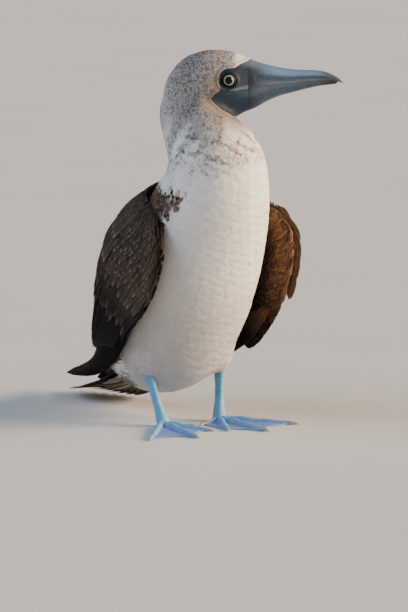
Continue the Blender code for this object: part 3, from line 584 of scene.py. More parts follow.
class Feathers:
    """Gathers closed vanes, and makes one mesh of them."""

    def __init__(self):
        self.parts = []

    def add(self, lines, overs, widths, tint, columns=3, thick=0.25, camber=0.15, rim=0.0,
            patches=None, roll=0.0):
        """Vanes along `lines` (count, rows, 3) in metres, `widths` (count, rows) in mm, `overs`
        the way their upper side looks, `tint` (count, rows, 3), and `roll` mm of rise across.
        A thickness of 0 gives a flat under side."""
        count, rows = lines.shape[:2]
        ways = unit(np.gradient(lines, axis=1))
        across = unit(np.cross(ways, overs))
        above = np.cross(across, ways)
        side = np.linspace(-1, 1, columns)
        half = widths[:, :-1, None, None] * 0.5 * MM
        rise = camber * (1 - side**2)[None, None, :, None] * half
        rise = rise + np.broadcast_to(roll, (count,))[:, None, None, None] * MM * side[:, None]
        top = lines[:, :-1, None] + across[:, :-1, None] * half * side[:, None]
        top = top + above[:, :-1, None] * rise
        inner = columns - 2 if thick else 0
        low = top[:, :, 1:1 + inner] - above[:, :-1, None] * thick * MM
        points = np.concatenate([top.reshape(count, -1, 3), low.reshape(count, -1, 3),
                                 lines[:, -1:]], axis=1)
        runs = np.linalg.norm(np.diff(lines, axis=1), axis=2)
        runs = np.concatenate([np.zeros((count, 1)), np.cumsum(runs, axis=1)], axis=1)
        share = runs / runs[:, -1:]

        def spread(values, flat):
            """A value for each row given to all the points of that row."""
            upper = np.repeat(values[:, :-1], columns, axis=1)
            lower = np.repeat(values[:, :-1], inner, axis=1)
            return np.concatenate([upper, lower, values[:, -1:]], axis=1)[..., :flat]

        sides = np.concatenate([np.tile(side, rows - 1),
                                np.tile(side[1:1 + inner], rows - 1), [0.0]])
        sides = np.broadcast_to(sides, (count, len(sides)))
        width = spread(widths[..., None], 1)[..., 0]
        along = spread(share[..., None], 1)[..., 0]
        length = spread(runs[..., None] / MM, 1)[..., 0]
        span = np.stack([sides * width / 2, length, np.zeros_like(length)], axis=2)
        vane = np.stack([(sides + 1) / 2, along], axis=2)
        if patches is None:
            patches = np.zeros((count, 2))
        baked = patches[:, None] + (vane - (0.5, 0.0)) * BAKE_PATCH
        upper, under = vane_faces(rows, columns, inner == 0)
        self.parts.append({
            "points": points.reshape(-1, 3), "tint": spread(tint, 3).reshape(-1, 3),
            "vane": vane.reshape(-1, 2), "span": span.reshape(-1, 3),
            "baked": baked.reshape(-1, 2), "faces": upper + under, "upper": len(upper),
            "rim": np.repeat(np.broadcast_to(rim, (count,)), points.shape[1]),
            "over": spread(overs, 3).reshape(-1, 3),
            "count": count, "each": points.shape[1],
        })

    def build(self, name, material, spans=True, softness=0.0):
        """One mesh of all the vanes, shaded by `softness` as the form under them is."""
        loops, starts, flats, first, run = [], [], [], 0, 0
        for part in self.parts:
            corners = np.concatenate([np.array(f) for f in part["faces"]])
            sizes = np.array([len(f) for f in part["faces"]])
            shift = first + part["each"] * np.arange(part["count"])[:, None]
            loops.append((corners[None] + shift).ravel())
            begin = np.concatenate([[0], np.cumsum(sizes)[:-1]])
            starts.append((begin[None] + run + len(corners) * np.arange(part["count"])[:, None])
                          .ravel())
            flat = np.arange(len(sizes)) >= part["upper"]
            flats.append(np.tile(flat, part["count"]))
            first += part["each"] * part["count"]
            run += len(corners) * part["count"]
        gathered = {key: np.concatenate([p[key] for p in self.parts])
                    for key in ("points", "tint", "vane", "span", "baked", "rim", "over")}
        loops, starts, flats = (np.concatenate(v) for v in (loops, starts, flats))
        mesh = bpy.data.meshes.new(name)
        mesh.vertices.add(first)
        mesh.loops.add(len(loops))
        mesh.polygons.add(len(starts))
        mesh.vertices.foreach_set("co", gathered["points"].astype(np.float32).ravel())
        mesh.loops.foreach_set("vertex_index", loops.astype(np.int32))
        mesh.polygons.foreach_set("loop_start", starts.astype(np.int32))
        mesh.update(calc_edges=True)
        mesh.polygons.foreach_set("use_smooth", ~flats)
        for key, title in (("baked", "OFBake"), ("vane", "vane")):
            layer = mesh.uv_layers.new(name=title)
            layer.data.foreach_set("uv", gathered[key][loops].astype(np.float32).ravel())
        store(mesh, "tint", "FLOAT_COLOR", gathered["tint"])
        if spans:
            store(mesh, "span", "FLOAT_VECTOR", gathered["span"])
            store(mesh, "rim", "FLOAT", gathered["rim"])
        mesh.materials.append(material)
        if softness:
            own = read(mesh, "normal")
            shading = unit(own * (1 - softness) + unit(gathered["over"]) * softness)[loops]
            under = np.repeat(flats, np.diff(np.append(starts, len(loops))))
            shading[under] *= -1
            mesh.normals_split_custom_set(shading.astype(np.float32))
        obj = bpy.data.objects.new(name, mesh)
        bpy.context.scene.collection.objects.link(obj)
        return obj


class Surface:
    """A mesh to walk over: nearest places on it and its smooth normals."""

    def __init__(self, mesh):
        self.points = read(mesh, "co")
        self.normals = read(mesh, "normal")
        mesh.calc_loop_triangles()
        triangles = np.zeros(len(mesh.loop_triangles) * 3, np.int32)
        mesh.loop_triangles.foreach_get("vertices", triangles)
        self.triangles = triangles.reshape(-1, 3)
        self.tree = BVHTree.FromPolygons(self.points.tolist(), self.triangles.tolist())

    def near(self, places):
        """The nearest places on the surface, and its normals there."""
        found = [self.tree.find_nearest(p) for p in places.tolist()]
        spots = np.array([f[0] for f in found])
        corners = self.triangles[[f[2] for f in found]]
        gaps = np.linalg.norm(self.points[corners] - spots[:, None], axis=2)
        weight = 1 / (gaps + 1e-5)
        return spots, unit((self.normals[corners] * weight[..., None]).sum(1))

    def scatter(self, spacing, seed, wanted):
        """Places over the surface about `spacing` mm apart, where `wanted` gives over a draw."""
        draw = np.random.default_rng(seed)
        corners = self.points[self.triangles]
        area = np.linalg.norm(np.cross(corners[:, 1] - corners[:, 0],
                                       corners[:, 2] - corners[:, 0]), axis=1) / 2
        area = area * (wanted(corners.mean(1)) > 0)
        count = int(area.sum() / (spacing * MM) ** 2 * 7)
        picked = draw.choice(len(area), count, p=area / area.sum())
        a, b = draw.random((2, count))
        fold = a + b > 1
        a, b = np.where(fold, 1 - a, a), np.where(fold, 1 - b, b)
        corners = corners[picked]
        places = (corners[:, 0] + (corners[:, 1] - corners[:, 0]) * a[:, None]
                  + (corners[:, 2] - corners[:, 0]) * b[:, None])
        places = places[wanted(places) > draw.random(count)]
        return self.thinned(places, spacing, draw)

    def thinned(self, places, spacing, draw):
        """One place from each cell of a grid turned at random."""
        turn = np.linalg.qr(draw.normal(size=(3, 3)))[0]
        cells = places @ turn / (1.22 * spacing * MM)
        off = np.linalg.norm(cells - np.floor(cells) - 0.5, axis=1)
        order = np.argsort(off + draw.random(len(off)) * 0.25)
        keys = np.floor(cells[order]).astype(np.int64) + 100000
        keys = (keys[:, 0] * 200003 + keys[:, 1]) * 200003 + keys[:, 2]
        _, first = np.unique(keys, return_index=True)
        return places[order[np.sort(first)]]

    def lay(self, roots, ways, lengths, rows, heights):
        """Lines that run over the surface from the roots: (count, rows, 3) and their normals."""
        here, normal = self.near(roots)
        lines, overs = [here + normal * heights[:, :1] * MM], [normal]
        way = ways
        for k in range(1, len(rows)):
            way = unit(way - normal * (way * normal).sum(1, keepdims=True))
            here, normal = self.near(here + way * (lengths * (rows[k] - rows[k - 1]) * MM)[:, None])
            lines.append(here + normal * heights[:, k:k + 1] * MM)
            overs.append(normal)
        return np.stack(lines, axis=1), np.stack(overs, axis=1)


def down_finish():
    """Soft matt feathers, each with fine barbs and a faint cloudiness."""
    made, shader = finish("down", roughness=0.85, Specular_IOR_Level=0.25)
    tint = stored(made, "tint", "Color")
    vane = node(made, "ShaderNodeUVMap", uv_map="vane").outputs[0]
    place = node(made, "ShaderNodeSeparateXYZ", {0: vane})
    side = sums(made, "ABSOLUTE", sums(made, "MULTIPLY_ADD", place.outputs[0], 2.0, -1.0))
    lines = sums(made, "SINE", sums(made, "MULTIPLY_ADD", place.outputs[1], 70.0,
                 sums(made, "MULTIPLY", side, -14.0)))
    cloudy = smooth_step(made, grain(made, 60.0), 0.3, 0.75, 0.12)
    colour = blend(made, cloudy, tint, (0.55, 0.50, 0.44), "MULTIPLY")
    feed(made, shader, "Base Color", colour)
    bump(made, shader, lines, 0.00003, 0.4)
    return made


def quill_finish():
    """Stiff feathers: a shaft, barbs slanting from it, a worn pale edge and darker streaks."""
    made, shader = finish("quill", roughness=0.7, Specular_IOR_Level=0.05)
    tint = stored(made, "tint", "Color")
    rim = stored(made, "rim")
    span = stored(made, "span", "Vector")
    vane = node(made, "ShaderNodeUVMap", uv_map="vane").outputs[0]
    size = node(made, "ShaderNodeSeparateXYZ", {0: span})
    place = node(made, "ShaderNodeSeparateXYZ", {0: vane})
    out = sums(made, "ABSOLUTE", size.outputs[0])
    side = sums(made, "ABSOLUTE", sums(made, "MULTIPLY_ADD", place.outputs[0], 2.0, -1.0))
    worn = sums(made, "MULTIPLY_ADD", grain(made, 260.0, 4.0), 0.5, -0.25)
    at_side = smooth_step(made, sums(made, "ADD", side, worn), 0.66, 0.96)
    ragged = sums(made, "ADD", place.outputs[1], sums(made, "MULTIPLY", worn, 0.35))
    edge = sums(made, "MAXIMUM", at_side, smooth_step(made, ragged, 0.84, 0.98))
    slant = sums(made, "MULTIPLY_ADD", out, -1.0, size.outputs[1])
    barbs = sums(made, "SINE", sums(made, "MULTIPLY", slant, 8.5))
    across = sums(made, "MULTIPLY", place.outputs[0], 1.2)
    strand = node(made, "ShaderNodeCombineXYZ", {0: sums(made, "MULTIPLY", slant, 0.55),
                  1: across}).outputs[0]
    clumps = node(made, "ShaderNodeTexNoise", {"Vector": strand, "Scale": 1.0,
                  "Detail": 3.0}).outputs[0]
    dusky = blend(made, smooth_step(made, clumps, 0.35, 0.7, 0.55), tint, (0.35, 0.33, 0.32),
                  "MULTIPLY")
    streaked = blend(made, sums(made, "MULTIPLY_ADD", barbs, 0.4, 0.4), dusky,
                     (1.9, 1.85, 1.8), "MULTIPLY")
    pale = blend(made, sums(made, "MULTIPLY", edge, rim), streaked, SCALE_FRINGE)
    shaft = smooth_step(made, out, 0.75, 0.35)
    colour = blend(made, sums(made, "MULTIPLY", shaft, 0.6), pale, (1.9, 1.7, 1.5), "MULTIPLY")
    feed(made, shader, "Base Color", colour)
    relief = sums(made, "ADD", sums(made, "MULTIPLY", barbs, 0.25),
                  sums(made, "MULTIPLY", shaft, 2.0))
    relief = sums(made, "ADD", relief, sums(made, "MULTIPLY", clumps, 2.0))
    bump(made, shader, relief, 0.00016, 0.8)
    return made


quill = quill_finish()
down = down_finish()
hide = Surface(skin.data)
wing_trees = [BVHTree.FromPolygons([v.co[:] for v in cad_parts[n].data.vertices],
                                   [p.vertices[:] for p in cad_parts[n].data.polygons])
              for n in ("wing_right", "wing_left")]


def under_wing(places, normals):
    """True where a wing covers the body, seen straight out and to every side."""
    hidden = np.zeros(len(places), bool)
    asked = np.flatnonzero((ankle_mm(places)[:, 2] < 315) & (ankle_mm(places)[:, 1] > -60))
    for i in asked:
        out = Vector(normals[i])
        place = Vector(places[i]) - out * 0.004
        covered = True
        for lean in ((0, 0, 0), (0, 0, 0.7), (0, 0, -0.7), (0, 0.8, 0), (0, -0.8, 0)):
            way = (out + Vector(lean)).normalized()
            if all(tree.ray_cast(place, way, 0.07)[0] is None for tree in wing_trees):
                covered = False
                break
        hidden[i] = covered
    return hidden


def lie_of(places, normals, seed, stray):
    """The way each feather runs: down the spine's own way, a little astray."""
    draw = np.random.default_rng(seed)
    share, angle, way = spine_place(places)
    way = unit(way - normals * (way * normals).sum(1, keepdims=True))
    across = np.cross(normals, way)
    turn = np.radians(draw.normal(0, stray, len(places)) + 7 * ripple(places, 22, 8))
    way = way * np.cos(turn)[:, None] + across * np.sin(turn)[:, None]
    return way, np.stack([angle / (2 * math.pi) + 0.5, share], axis=1)


def mantle_rim(points):
    """How near each place is to the brown upper back's border on the shoulder, 0 to 1."""
    mm = ankle_mm(points)
    behind = np.degrees(np.abs(spine_place(points)[1]))
    wobble = 5 * ripple(points, 9, 14)
    front = np.interp(mm[:, 2], *MANTLE_FRONT)
    beside = 1 - step(behind + wobble, front + 4, front + 20)
    return beside * step(mm[:, 2], 240, 262) * (1 - step(mm[:, 2] + wobble, 302, 314))


def soft_coat(name, wanted, spacing, length, width, strands, seed, stray=7.0, fleck_gap=4.4):
    """One region of small feathers, each a fan of narrow strands from one root."""
    draw = np.random.default_rng(seed)
    roots, normals = hide.near(hide.scatter(spacing, seed, wanted))
    seen = ~under_wing(roots, normals)
    roots, normals = roots[seen], normals[seen]
    ways, patches = lie_of(roots, normals, seed + 1, stray)
    count = len(roots)
    depth = coat_depth(roots)
    size = draw.uniform(0.85, 1.15, count) * np.clip(depth / 1.2, 0.45, 1)
    lift = depth + np.minimum(depth, 3) * 0.06 * ripple(roots, 6.0, 9)
    ground, fleck, _ = marking(roots)
    ground = ground * draw.uniform(0.95, 1.04, count)[:, None]
    centres = KDTree(count)
    for i, place in enumerate(roots.tolist()):
        centres.insert(place, i)
    centres.balance()
    marks = np.zeros(count)
    for place in hide.thinned(roots, fleck_gap, draw).tolist():
        marks[centres.find(place)[1]] = 1
    marks *= step(fleck + draw.normal(0, 0.12, count), 0.15, 0.75) * draw.uniform(0.4, 1, count)
    dark = FLECK * draw.uniform(0.7, 1.4, count)[:, None]

    each = np.repeat(np.arange(count), strands)
    fan = np.tile(np.linspace(-1, 1, strands), count)
    turn = fan * math.atan(0.42 * width / length) + np.radians(draw.normal(0, 2.0, len(each)))
    across = np.cross(normals, ways)[each]
    way = ways[each] * np.cos(turn)[:, None] + across * np.sin(turn)[:, None]
    reach = length * size[each] * (1 - 0.10 * fan**2) * draw.uniform(0.93, 1.05, len(each))
    top = lift[each] - 0.10 * fan**2 + draw.normal(0, 0.03, len(each))
    fall = np.minimum(0.45, 0.45 * top)
    heights = np.stack([ROOT_DEPTH + 0 * top, top - fall, top - 0.35 * fall, top + 0.03], axis=1)
    lines, overs = hide.lay(roots[each] + across * (fan * 0.12 * width * MM)[:, None], way, reach,
                            DOWN_ROWS, heights)
    widths = (1.5 * width / strands * size[each])[:, None] * np.array((0.6, 0.9, 1.0, 0.0))
    near_mantle = mantle_rim(roots) * (draw.random(count) < 0.42)
    ground = ground + (RUSTY * 0.9 - ground) * (0.85 * near_mantle)[:, None]
    tint = np.repeat(ground[each][:, None], 4, axis=1)
    pale_end = (0.75 * near_mantle)[each][:, None] * np.array((0.0, 0.0, 0.5, 1.0))
    tint = tint + (WHITE - tint) * pale_end[..., None]
    tone = marks[each][:, None] * np.array((0.2, 0.4, 0.9, 0.9))
    tint = tint + (dark[each][:, None] - tint) * tone[..., None]
    coat = Feathers()
    coat.add(lines, overs, widths, tint, thick=0, camber=0.16, patches=patches[each])
    piece = coat.build(name, down, spans=False, softness=0.84)
    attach(piece, "root")


def region(low, high, front=None):
    """A mask for the feathers between two heights in mm, on the breast, the back or both."""
    def wanted(points):
        mm = ankle_mm(points)
        _, angle, _ = spine_place(points)
        keep = (mm[:, 2] > low) & (mm[:, 2] <= high) & (face_gap(points) > 0.6)
        if front is not None:
            keep &= (np.abs(np.degrees(angle)) > 90) == front
        _, _, mantle = marking(points)
        return keep * (1 - mantle)
    return wanted


def half_of(wanted, side):
    """The part of a region on one side of the bird."""
    return lambda points: wanted(points) * (ankle_mm(points)[:, 0] * side > 0)


def scaly_coat(name, wanted, spacing, length, width, seed):
    """Larger rounded feathers with worn pale fringes, in an even scaly lie."""
    draw = np.random.default_rng(seed)
    roots, normals = hide.near(hide.scatter(spacing, seed, wanted))
    seen = ~under_wing(roots, normals)
    roots, normals = roots[seen], normals[seen]
    ways, patches = lie_of(roots, normals, seed + 1, 7.0)
    count = len(roots)
    lift = coat_depth(roots) + 0.5 + draw.normal(0, 0.15, count)
    size = draw.uniform(0.85, 1.15, count)
    heights = (lift - 2.2)[:, None] + 2.2 * SCALE_ROWS + 0.3 * (SCALE_ROWS > 0.9)
    heights[:, 0] = ROOT_DEPTH
    lines, overs = hide.lay(roots, ways, length * size, SCALE_ROWS, heights)
    widths = width * size[:, None] * SCALE_SHAPE
    _, _, mantle = marking(roots)
    brown = BROWN * draw.uniform(0.5, 1.5, count)[:, None]
    brown = brown + (RUSTY - brown) * (0.8 * (draw.random(count) < 0.25))[:, None]
    tint = np.repeat((brown + (HEAD_GREY - brown) * 0.6 * (1 - mantle)[:, None])[:, None], 6, 1)
    high = step(ankle_mm(roots)[:, 2], 262, 290)
    worn = (0.3 + high) * draw.uniform(0.4, 1.2, count)
    coat = Feathers()
    coat.add(lines, overs, widths, tint, 5, thick=0.25, camber=0.12, rim=worn, patches=patches)
    piece = coat.build(name, quill)
    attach(piece, "root")


def mantle_only(points):
    """A mask for the brown scales of the upper back."""
    return marking(points)[2] * (ankle_mm(points)[:, 2] > 60)


scaly_coat("plumage_mantle", mantle_only, 4.2, 14.0, 7.5, seed=91)
soft_coat("plumage_head", region(*HEAD_HEIGHTS), 1.75, 6.5, 2.6, strands=3, seed=11, stray=6.0,
          fleck_gap=2.4)
for side, which in ((-1, "right"), (1, "left")):
    soft_coat("plumage_neck_" + which, half_of(region(*NECK_HEIGHTS), side), 2.0, 9.0, 3.6,
              strands=3, seed=22 + side, stray=9.0, fleck_gap=3.6)
    soft_coat("plumage_breast_" + which, half_of(region(*BREAST_HEIGHTS, True), side), 2.4, 12.0,
              4.8, strands=4, seed=32 + side)
for side, which, seed in ((-1, "right", 41), (1, "left", 43)):
    soft_coat("plumage_belly_" + which, half_of(region(*BELLY_HEIGHTS, True), side), 2.6, 13.0,
              5.2, strands=4, seed=seed)
soft_coat("plumage_back", region(*BACK_HEIGHTS, False), 2.8, 13.0, 5.6, strands=4, seed=51,
          stray=8.0)


def loose_tufts(name, seed):
    """Longer feathers over each flank behind the thigh, standing out more on the right."""
    draw = np.random.default_rng(seed)
    roots, normals = hide.near(hide.scatter(3.4, seed, flank))
    each = np.repeat(np.arange(len(roots)), 4)
    count = len(each)
    fan = np.tile(np.linspace(-1, 1, 4), len(roots))
    sides = np.sign(roots[each, :1])
    laid = np.maximum(sides, 0)  # 1 on the left flank, whose tufts lie down and are shorter
    way = unit(np.concatenate([0.30 * sides - 0.22 * laid, sides**2, -0.55 * laid], axis=1)
               + normals[each] * 0.10 + draw.normal(0, 0.05, (count, 3)))
    way = unit(way + np.cross(normals[each], way) * fan[:, None] * 0.10)
    rows = np.array((0.0, 0.3, 0.7, 1.0))
    high = step(ankle_mm(roots)[each, 2], 50, 70)
    reach = (13 + 11 * high) * (1 - 0.42 * laid[:, 0]) * draw.uniform(0.8, 1.1, count)
    reach = reach * (1 - 0.1 * fan**2) * MM
    clear = np.array([all(tree.ray_cast(Vector(a), Vector(b), c * 1.2)[0] is None
                          for tree in wing_trees) for a, b, c in zip(roots[each], way, reach)])
    reach = np.where(clear, reach, 6 * MM)
    lines = roots[each][:, None] + way[:, None] * (reach[:, None] * rows)[..., None]
    lines = lines + normals[each][:, None] * (1.5 * MM * np.sin(rows * 2.2))[None, :, None]
    overs = np.repeat(normals[each][:, None], 4, axis=1)
    widths = np.array((1.8, 3.2, 3.0, 0.0)) * draw.uniform(0.85, 1.15, (count, 1))
    low = 1 - step(ankle_mm(roots)[each, 2] + draw.normal(0, 5, count), 48, 66)
    tint = WHITE * 0.95 + (COLLAR * 0.5 - WHITE * 0.95) * (0.9 * low)[:, None]
    tint = np.repeat(tint[:, None], 4, axis=1)
    _, patches = lie_of(roots, normals, seed, 1.0)
    coat = Feathers()
    coat.add(lines, overs, widths, tint, thick=0, camber=0.2, patches=patches[each])
    piece = coat.build(name, down, spans=False, softness=0.6)
    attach(piece, "root")


def flank(points):
    """A mask for the flanks behind the thighs."""
    mm = ankle_mm(points)
    side = np.abs(mm[:, 0])
    return 1.0 * ((side > 26) & (mm[:, 1] > 58) & (mm[:, 1] < 104) & (mm[:, 2] < 84))


loose_tufts("plumage_flanks", 95)

# The eyes. Each is one glossy ball of glass, seated in the skin under the lids: a large black
# pupil, a thin pale yellow ring and dark towards the lid.
IRIS_PALE, IRIS_DARK = (0.30, 0.30, 0.23), (0.17, 0.18, 0.15)
PUPIL, EYE_RIM = (0.004, 0.004, 0.005), (0.015, 0.018, 0.022)


def mesh_object(name, points, faces, material=None):
    """A smooth object of the given points and faces."""
    mesh = bpy.data.meshes.new(name)
    mesh.from_pydata([tuple(map(float, p)) for p in points], [], faces)
    obj = bpy.data.objects.new(name, mesh)
    bpy.context.scene.collection.objects.link(obj)
    if material:
        mesh.materials.append(material)
    mesh.shade_smooth()
    return obj


def eye_finish():
    """Wet and glossy, its rings set by the distance from the pupil's middle in mm."""
    made, shader = finish("eye", roughness=0.05, IOR=1.33, Specular_IOR_Level=0.35)
    ring = stored(made, "ring")
    fibres = node(made, "ShaderNodeTexNoise", {"Vector": model_place(made), "Scale": 900.0,
                  "Detail": 3.0}).outputs[0]
    iris = blend(made, smooth_step(made, fibres, 0.35, 0.65), IRIS_PALE, IRIS_DARK)
    inner = smooth_step(made, ring, 4.45, 4.75)
    outer = smooth_step(made, ring, 5.9, 6.4)
    colour = blend(made, inner, PUPIL, iris)
    colour = blend(made, outer, colour, EYE_RIM)
    feed(made, shader, "Base Color", colour)
    return made


eye_material = eye_finish()
for name, side in (("left", 1), ("right", -1)):
    look = unit(np.array(EYE_LOOK) * (1, side, 1))
    around, rings = 40, 26
    points, ring = [], []
    first = unit(np.cross(look, (0, 0, 1.0)))
    second = np.cross(look, first)
    for i in range(rings + 1):
        a = math.pi * i / rings
        for j in range(around):
            b = 2 * math.pi * j / around
            out = EYE_RADIUS * math.sin(a)
            swell = 0.45 * math.exp(-(out / 4.6) ** 2) * (a < math.pi / 2)
            offset = look * (EYE_RADIUS * math.cos(a) - 0.1 + swell)
            offset = offset + (first * math.cos(b) + second * math.sin(b)) * out
            points.append(from_head(np.array(EYE_PLACE) * (1, side, 1) + offset))
            ring.append(out if a < math.pi / 2 else 9.0)
    faces = [(i * around + j, (i + 1) * around + j, (i + 1) * around + (j + 1) % around,
              i * around + (j + 1) % around) for i in range(rings) for j in range(around)]
    if side < 0:
        faces = [f[::-1] for f in faces]
    eye = mesh_object("eye_" + name + "_ball", points, faces, eye_material)
    store(eye.data, "ring", "FLOAT", ring)
    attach(eye, "root")
    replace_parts(eye, "eye_" + name)

# The bill. Two halves of polished horn over bone, that grow out of the face and meet along the
# mouth. The upper one has a long groove down each side and a hooked tip. Both are slate blue,
# with a warm keel and a dark tip; the upper one has a painted highlight, a paler band by its ridge.
# Each row, mm: forward of the skull's middle, the ridge's, mouth's and keel's height, half widths
BILL = [(40, 33.6, -3.4, -31.5, 19.2, 18.6), (44, 32.6, -3.0, -30.5, 18.6, 18.0),
        (53, 28.4, -0.6, -26.4, 16.2, 15.4), (66, 24.0, 1.2, -19.4, 13.8, 12.8),
        (80, 20.8, 1.9, -13.6, 11.6, 10.6), (93, 18.8, 2.8, -10.0, 10.0, 8.9),
        (107, 17.8, 4.2, -6.2, 8.6, 7.4), (124, 17.4, 5.4, -2.2, 7.1, 5.9),
        (136, 15.2, 5.2, -0.4, 5.9, 4.5), (146, 10.8, 4.4, 0.8, 4.4, 3.0),
        (152, 7.0, 3.0, 1.0, 2.9, 1.6), (156, 3.0, 1.6, 0.7, 1.2, 0.6)]
LOWER_BILL_ROWS = [r for r in BILL if r[0] < 147] + [(149, 9.6, 3.9, 1.7, 3.8, 2.0)]
HORN_START = 41.0
MOUTH_GAP = 0.12  # from the mouth's line to each half
BILL_SLATE = np.array((0.034, 0.066, 0.116))
# Painted highlight colour, laid as a paler band along the upper half below its ridge.
BILL_HIGHLIGHT = np.array((0.140, 0.245, 0.385))
BILL_EDGE = np.array((0.170, 0.200, 0.235))
BILL_TIP = np.array((0.024, 0.020, 0.022))
BILL_WARM = np.array((0.150, 0.105, 0.082))
HORN_STREAK = (0.36, 0.42, 0.47)


def loft_mesh(name, rings, material):
    """A closed body through rings of equal length, each end closed round its middle."""
    rings = np.array(rings, float)
    count, around = rings.shape[:2]
    points = np.concatenate([rings.reshape(-1, 3), rings[:1].mean(1), rings[-1:].mean(1)])
    faces = []
    for j in range(around):
        k = (j + 1) % around
        for i in range(count - 1):
            a, b = i * around, (i + 1) * around
            faces.append((a + j, a + k, b + k, b + j))
        faces.append((k, j, count * around))
        faces.append(((count - 1) * around + j, (count - 1) * around + k, count * around + 1))
    obj = mesh_object(name, points, faces, material)
    face_out(obj)
    return obj


def face_out(obj):
    """Turns a closed body's faces outward."""
    obj.data.calc_loop_triangles()
    points = read(obj.data, "co")
    triangles = np.zeros(len(obj.data.loop_triangles) * 3, np.int32)
    obj.data.loop_triangles.foreach_get("vertices", triangles)
    if np.linalg.det(points[triangles.reshape(-1, 3)]).sum() < 0:
        obj.data.flip_normals()


def bill_finish():
    """Horn: fine streaks along the bill, and a soft polish."""
    made, shader = finish("bill", roughness=0.42, Specular_IOR_Level=0.28)
    tint = stored(made, "tint", "Color")
    turned = node(made, "ShaderNodeMapping", {"Vector": model_place(made), "Rotation":
                  (0, 0, math.pi / 2 - HEAD_TURN)}, vector_type="POINT").outputs[0]
    drawn_out = node(made, "ShaderNodeMapping", {"Vector": turned,
                     "Scale": (60.0, 900.0, 900.0)}).outputs[0]
    streaks = node(made, "ShaderNodeTexNoise", {"Vector": drawn_out, "Scale": 1.0,
                   "Detail": 4.0}).outputs[0]
    horny = stored(made, "horny")
    pale = sums(made, "MULTIPLY", smooth_step(made, streaks, 0.35, 0.75, 0.10), horny)
    colour = blend(made, pale, tint, HORN_STREAK)
    colour = blend(made, smooth_step(made, grain(made, 90.0, 4.0), 0.5, 0.8, 0.35), colour,
                   (0.55, 0.56, 0.58), "MULTIPLY")
    feed(made, shader, "Base Color", colour)
    rough = smooth_step(made, grain(made, 300.0), 0.3, 0.7, 0.18)
    rough = sums(made, "ADD", rough, sums(made, "MULTIPLY_ADD", horny, -0.14, 0.46))
    feed(made, shader, "Roughness", rough)
    bump(made, shader, sums(made, "MULTIPLY", streaks, horny), 0.00014, 0.6)
    return made


def half_ring(row, upper):
    """The outer curve of one half of the bill: places, levels up its side, and ways outward."""
    forward, ridge, mouth, keel, half_up, half_low = row
    edge = mouth + (MOUTH_GAP if upper else -MOUTH_GAP)
    a = np.linspace(0, math.pi, 31)
    level = np.sin(a) ** 0.85
    level[-1] = 0.0
    side = (half_up if upper else half_low) * np.sign(np.cos(a)) * np.abs(np.cos(a)) ** 0.9
    if upper and 50 < forward < 142:
        side = side * (1 - 0.055 * np.exp(-((level - 0.34) / 0.07) ** 2))
    up = edge + ((ridge if upper else keel) - edge) * level
    places = np.stack([forward + 0 * a, side, up], axis=1)
    return places, level, unit(places - (forward, 0, mouth))


def face_excess(upper):
    """How far the skin stands out past each point of the horn where the horn begins, mm."""
    row = smooth_rows(BILL, 600)
    row = row[np.abs(row[:, 0] - HORN_START).argmin()]
    places, _, ways = half_ring(row, upper)
    axis = np.array((row[0], 0, row[2]))
    excess = []
    for place, way in zip(places, ways):
        hit = hide.tree.ray_cast(from_head(axis), way @ HEAD_AXES)[3]
        excess.append(hit / MM - np.linalg.norm(place - axis) if hit else 1.0)
    return np.clip(excess, -1.5, 3.0)


def bill_mesh(name, upper, material):
    """One half of the bill, that rises out of the skin where the horn begins."""
    rows = smooth_rows(BILL if upper else LOWER_BILL_ROWS, 80)
    excess = face_excess(upper)
    rings, tints = [], []
    for row in rows:
        forward, edge = row[0], row[2] + (MOUTH_GAP if upper else -MOUTH_GAP)
        places, levels, ways = half_ring(row, upper)
        proud = (excess + 0.10) * (1 - step(forward, HORN_START + 5, 68))
        proud = proud - 0.40 * (1 - step(forward, HORN_START - 1, HORN_START + 11))
        places = places + ways * proud[:, None]
        inner = [(forward, places[0, 1] * g, edge + (0.25 if upper else -0.25) * (abs(g) < 0.7))
                 for g in np.linspace(-0.8, 0.8, 5)]
        rings.append([from_head(p) for p in inner + places.tolist()])
        tints += [BILL_SLATE * 0.5] * 5
        near = face_colour(from_head(places))
        for level, skin_colour in zip(levels, near):
            tint = BILL_SLATE.copy()
            if upper:
                # Painted highlight: a paler blue band along the upper half's side up to its ridge.
                highlight_band = step(level, 0.42, 0.62) * (1 - 0.35 * step(level, 0.8, 0.97))
                tint += (BILL_HIGHLIGHT - tint) * 0.9 * float(highlight_band)
                tint += (BILL_EDGE - tint) * 0.60 * float(step(0.20 - level, 0.0, 0.1))
                tint += (BILL_WARM - tint) * 0.5 * float(step(0.26 - level, 0, 0.1)
                                                        * step(forward, 90, 115))
            else:
                tint += (BILL_EDGE - tint) * 0.35 * float(step(0.35 - level, 0.0, 0.2))
                tint += (BILL_WARM - tint) * 0.8 * float(step(level, 0.72, 1.0))
            tint += (BILL_TIP - tint) * 0.85 * float(step(forward, 116, 146))
            tints.append(skin_colour + (tint - skin_colour) * float(step(forward, 44, 80)))
    obj = loft_mesh(name, rings, material)
    store(obj.data, "tint", "FLOAT_COLOR", tints + [BILL_SLATE, BILL_TIP])
    ahead = head_mm(read(obj.data, "co"))[:, 0]
    store(obj.data, "horny", "FLOAT", step(ahead, 42, 62))
    obj.data.set_sharp_from_angle(angle=math.radians(50))
    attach(obj, "root")
    return obj


horn = bill_finish()
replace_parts(bill_mesh("bill_upper_horn", True, horn), "bill_upper")
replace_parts(bill_mesh("bill_lower_horn", False, horn), "bill_lower")
